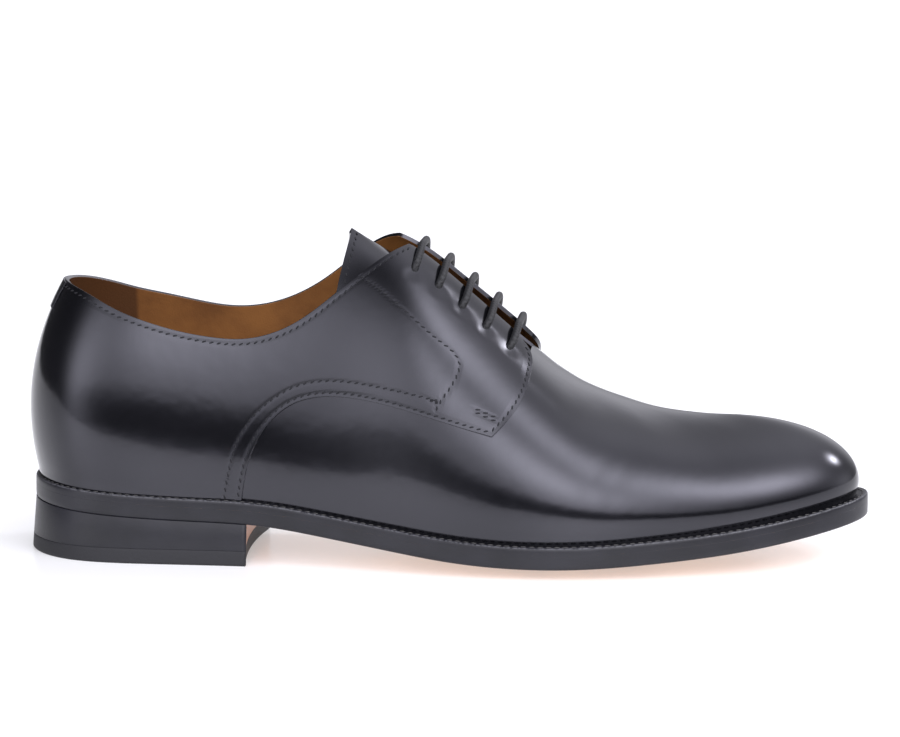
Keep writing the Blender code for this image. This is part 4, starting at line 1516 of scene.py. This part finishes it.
def tube(path: np.ndarray, radius: float, around: int) -> tuple[np.ndarray, np.ndarray, np.ndarray]:
    """A round tube along a path.

    Args:
        path: Points of the middle line.
        radius: Radius.
        around: Number of sides.

    Returns:
        A net of points, and the distance along and share around of each: middle plus radius times
        (cosine times the side direction plus sine times the upper one).
    """
    ahead = unit(np.gradient(path, axis=0))
    aside = unit(np.cross(ahead, (0.0, 0.0, 1.0)) + 1e-9)
    above = np.cross(aside, ahead)
    share = np.linspace(0, 1, around + 1)
    angle = 2 * np.pi * share[:, None]
    net = path[:, None] + radius * (np.cos(angle) * aside[:, None] + np.sin(angle) * above[:, None])
    along = np.repeat(lengths(path)[:, None], around + 1, axis=1)
    return net, along, np.repeat(share[None], len(path), axis=0)


@dataclass
class Lace:
    """Straight lacing: a bar over the flaps at each row of eyelets, its ends down through them."""

    quarters: Quarters
    diameter: float = 2.8 * MM
    lean: float = 1.6 * MM
    seat: float = 0.52
    dip: float = 1.9
    turn_in: float = 3.2 * MM

    def build(self, finishes: Finishes) -> None:
        """Makes the bars: each rises out of an eyelet, lies on the leather, and goes down the other."""
        skin, flaps, last = self.quarters.outside, self.quarters.flaps, self.quarters.last
        body = Body()
        for x, reach in flaps.eyelets(last):
            halves = []
            for side in Side:
                y = np.linspace(reach, float(flaps.gap(x)), 14)
                plan = np.stack([np.full(14, x), side * y], axis=-1)
                turn, rise = skin.find(plan, (0, 1), side)
                point, square = skin.at(turn, rise, side), last.normal(turn, rise, side)
                lift = self.diameter * (self.seat - self.dip * (1 - smooth((reach - y) / self.turn_in)))
                halves.append(point + square * lift[:, None])
            path = np.concatenate([halves[0], halves[1][::-1]])
            share = np.clip(np.abs(path[:, 1]) / reach, 0, 1)
            path[:, 0] += self.lean * (1 - share**4)
            path = resample(path, 60)
            soft = path.copy()
            for _ in range(3):
                soft[1:-1] = (soft[:-2] + 2 * soft[1:-1] + soft[2:]) / 4
            net, along, around = tube(soft, self.diameter / 2, 16)
            body.add_grid(net, along=along, around=around)
        names = [f"lace_bar_{number}" for number in range(1, flaps.eyelet_rows + 1)]
        body.build("laces", (finishes.cord,), "waxed_cotton", names, weld=0)


# --- the studio -------------------------------------------------------------------------------


@dataclass(frozen=True)
class Camera:
    """The photograph's view, for an image of 900 by 737."""

    azimuth: float = 5.0
    elevation: float = 9.5
    distance: float = 2.0
    lens: float = 219.4
    target: tuple = (0.1135, 0.0, 0.0673)

    def make(self) -> None:
        """Makes the camera, aims it and sets it as the scene's."""
        data = bpy.data.cameras.new("camera")
        data.lens, data.sensor_width, data.clip_start = self.lens, 36.0, 0.05
        camera = placed("camera", data)
        a, e = np.radians(self.azimuth), np.radians(self.elevation)
        back = Vector((np.sin(a) * np.cos(e), -np.cos(a) * np.cos(e), np.sin(e)))
        camera.location = Vector(self.target) + back * self.distance
        camera.rotation_mode = "QUATERNION"
        camera.rotation_quaternion = (-back).to_track_quat("-Z", "Y")
        bpy.context.scene.camera = camera


@dataclass(frozen=True)
class Glow:
    """A soft patch of light in the room, round one direction seen from the shoe."""

    azimuth: float
    elevation: float
    strength: float
    spread: float

    def axis(self) -> tuple[float, float, float]:
        """Its direction; azimuth 0 is towards -Y and 90 towards the toe."""
        a, e = np.radians(self.azimuth), np.radians(self.elevation)
        return float(np.sin(a) * np.cos(e)), float(-np.cos(a) * np.cos(e)), float(np.sin(e))


@dataclass(frozen=True)
class Studio:
    """A pale floor in a room of soft light: large diffusers in front, a dim wall behind."""

    dim: float = 0.05
    front: tuple = (
        Glow(46, 42, 6.4, 13), Glow(6, 24, 5.0, 11), Glow(-30, 20, 1.9, 15), Glow(120, 68, 1.3, 20),
        Glow(75, 26, 0.5, 18), Glow(15, 8, 1.0, 16),
    )
    around: tuple = (
        Glow(100, 2, 1.0, 15), Glow(165, 25, 1.1, 18), Glow(114, 40, 26, 3.6), Glow(-50, 10, 2.0, 12),
    )
    cut: tuple = (0.03, 0.14)

    def sky(self) -> None:
        """The room's light: a dim base plus, for each glow, strength times e to the power of
        (cosine of the angle from its middle, less 1) over its spread squared. The front glows
        end at the diffusers' lower edge, a little above the horizon."""
        world = bpy.data.worlds.new("studio")
        world.use_nodes = True
        nodes = Nodes(world.node_tree)
        ray = nodes.node("ShaderNodeTexCoord", {}, {}, "Generated")

        def sum_of(glows: tuple) -> Signal:
            """The glows added up."""
            total = None
            for glow in glows:
                settings = {"operation": "DOT_PRODUCT"}
                near = nodes.node("ShaderNodeVectorMath", settings, {0: ray, 1: glow.axis()}, "Value")
                patch = ((near - 1) * (1 / np.radians(glow.spread) ** 2)).exponent() * glow.strength
                total = patch if total is None else total + patch
            return total

        height = nodes.node("ShaderNodeSeparateXYZ", {}, {0: ray}, "Z")
        total = sum_of(self.front) * height.ease(*self.cut) + sum_of(self.around) + self.dim
        room, plain = (
            nodes.node("ShaderNodeBackground", {}, {"Color": tint, "Strength": strength}, 0)
            for tint, strength in ((colour(0.97, 0.965, 1.05), total), (colour(1, 1, 1), 1.0))
        )
        seen = nodes.node("ShaderNodeLightPath", {}, {}, "Is Camera Ray")
        mixed = nodes.node("ShaderNodeMixShader", {}, {0: seen, 1: room, 2: plain}, 0)
        nodes.feed(world.node_tree.nodes["World Output"].inputs["Surface"], mixed)
        bpy.context.scene.world = world

    def make(self) -> None:
        """Makes the floor and the light."""
        half, front = 3.0, -0.36
        mesh = bpy.data.meshes.new("floor")
        corners = [(x, y, 0) for x, y in ((-half, front), (half, front), (half, half), (-half, half))]
        mesh.from_pydata(corners, [], [(0, 1, 2, 3)])
        placed("floor", mesh)
        shader = Shader("studio_floor")
        mesh.materials.append(shader.dress(
            Base_Color=colour(0.93, 0.93, 0.93), Roughness=0.2,
            Emission_Color=colour(1, 1, 1), Emission_Strength=0.35,
        ))
        self.sky()
        bpy.context.scene.view_settings.view_transform = "Standard"


def main() -> None:
    """Builds the shoe and its studio."""
    logging.basicConfig(level=logging.INFO, format="%(message)s")
    Camera().make()
    Studio().make()
    last, flaps, finishes = Last(), Flaps(), Finishes.make()
    fine = Stitching()
    bold = Stitching(length=2.1 * MM, width=0.8 * MM, height=0.6 * MM, pitch=3.0 * MM, tilt=0.0)
    quarters = Quarters(last, flaps)
    quarters.build(finishes)
    quarters.sew(fine)
    Vamp(last, flaps).build(finishes)
    BackTab(last).build(finishes)
    Tongue(last, flaps).build(finishes, fine)
    Sole(last).build(finishes)
    Welt(last).build(finishes, bold)
    Lace(quarters).build(finishes)
    fine.build("upper_stitches", finishes.thread, "waxed_cotton")
    bold.build("welt_stitches", finishes.welt_thread, "waxed_cotton")


if __name__ == "__main__":
    main()
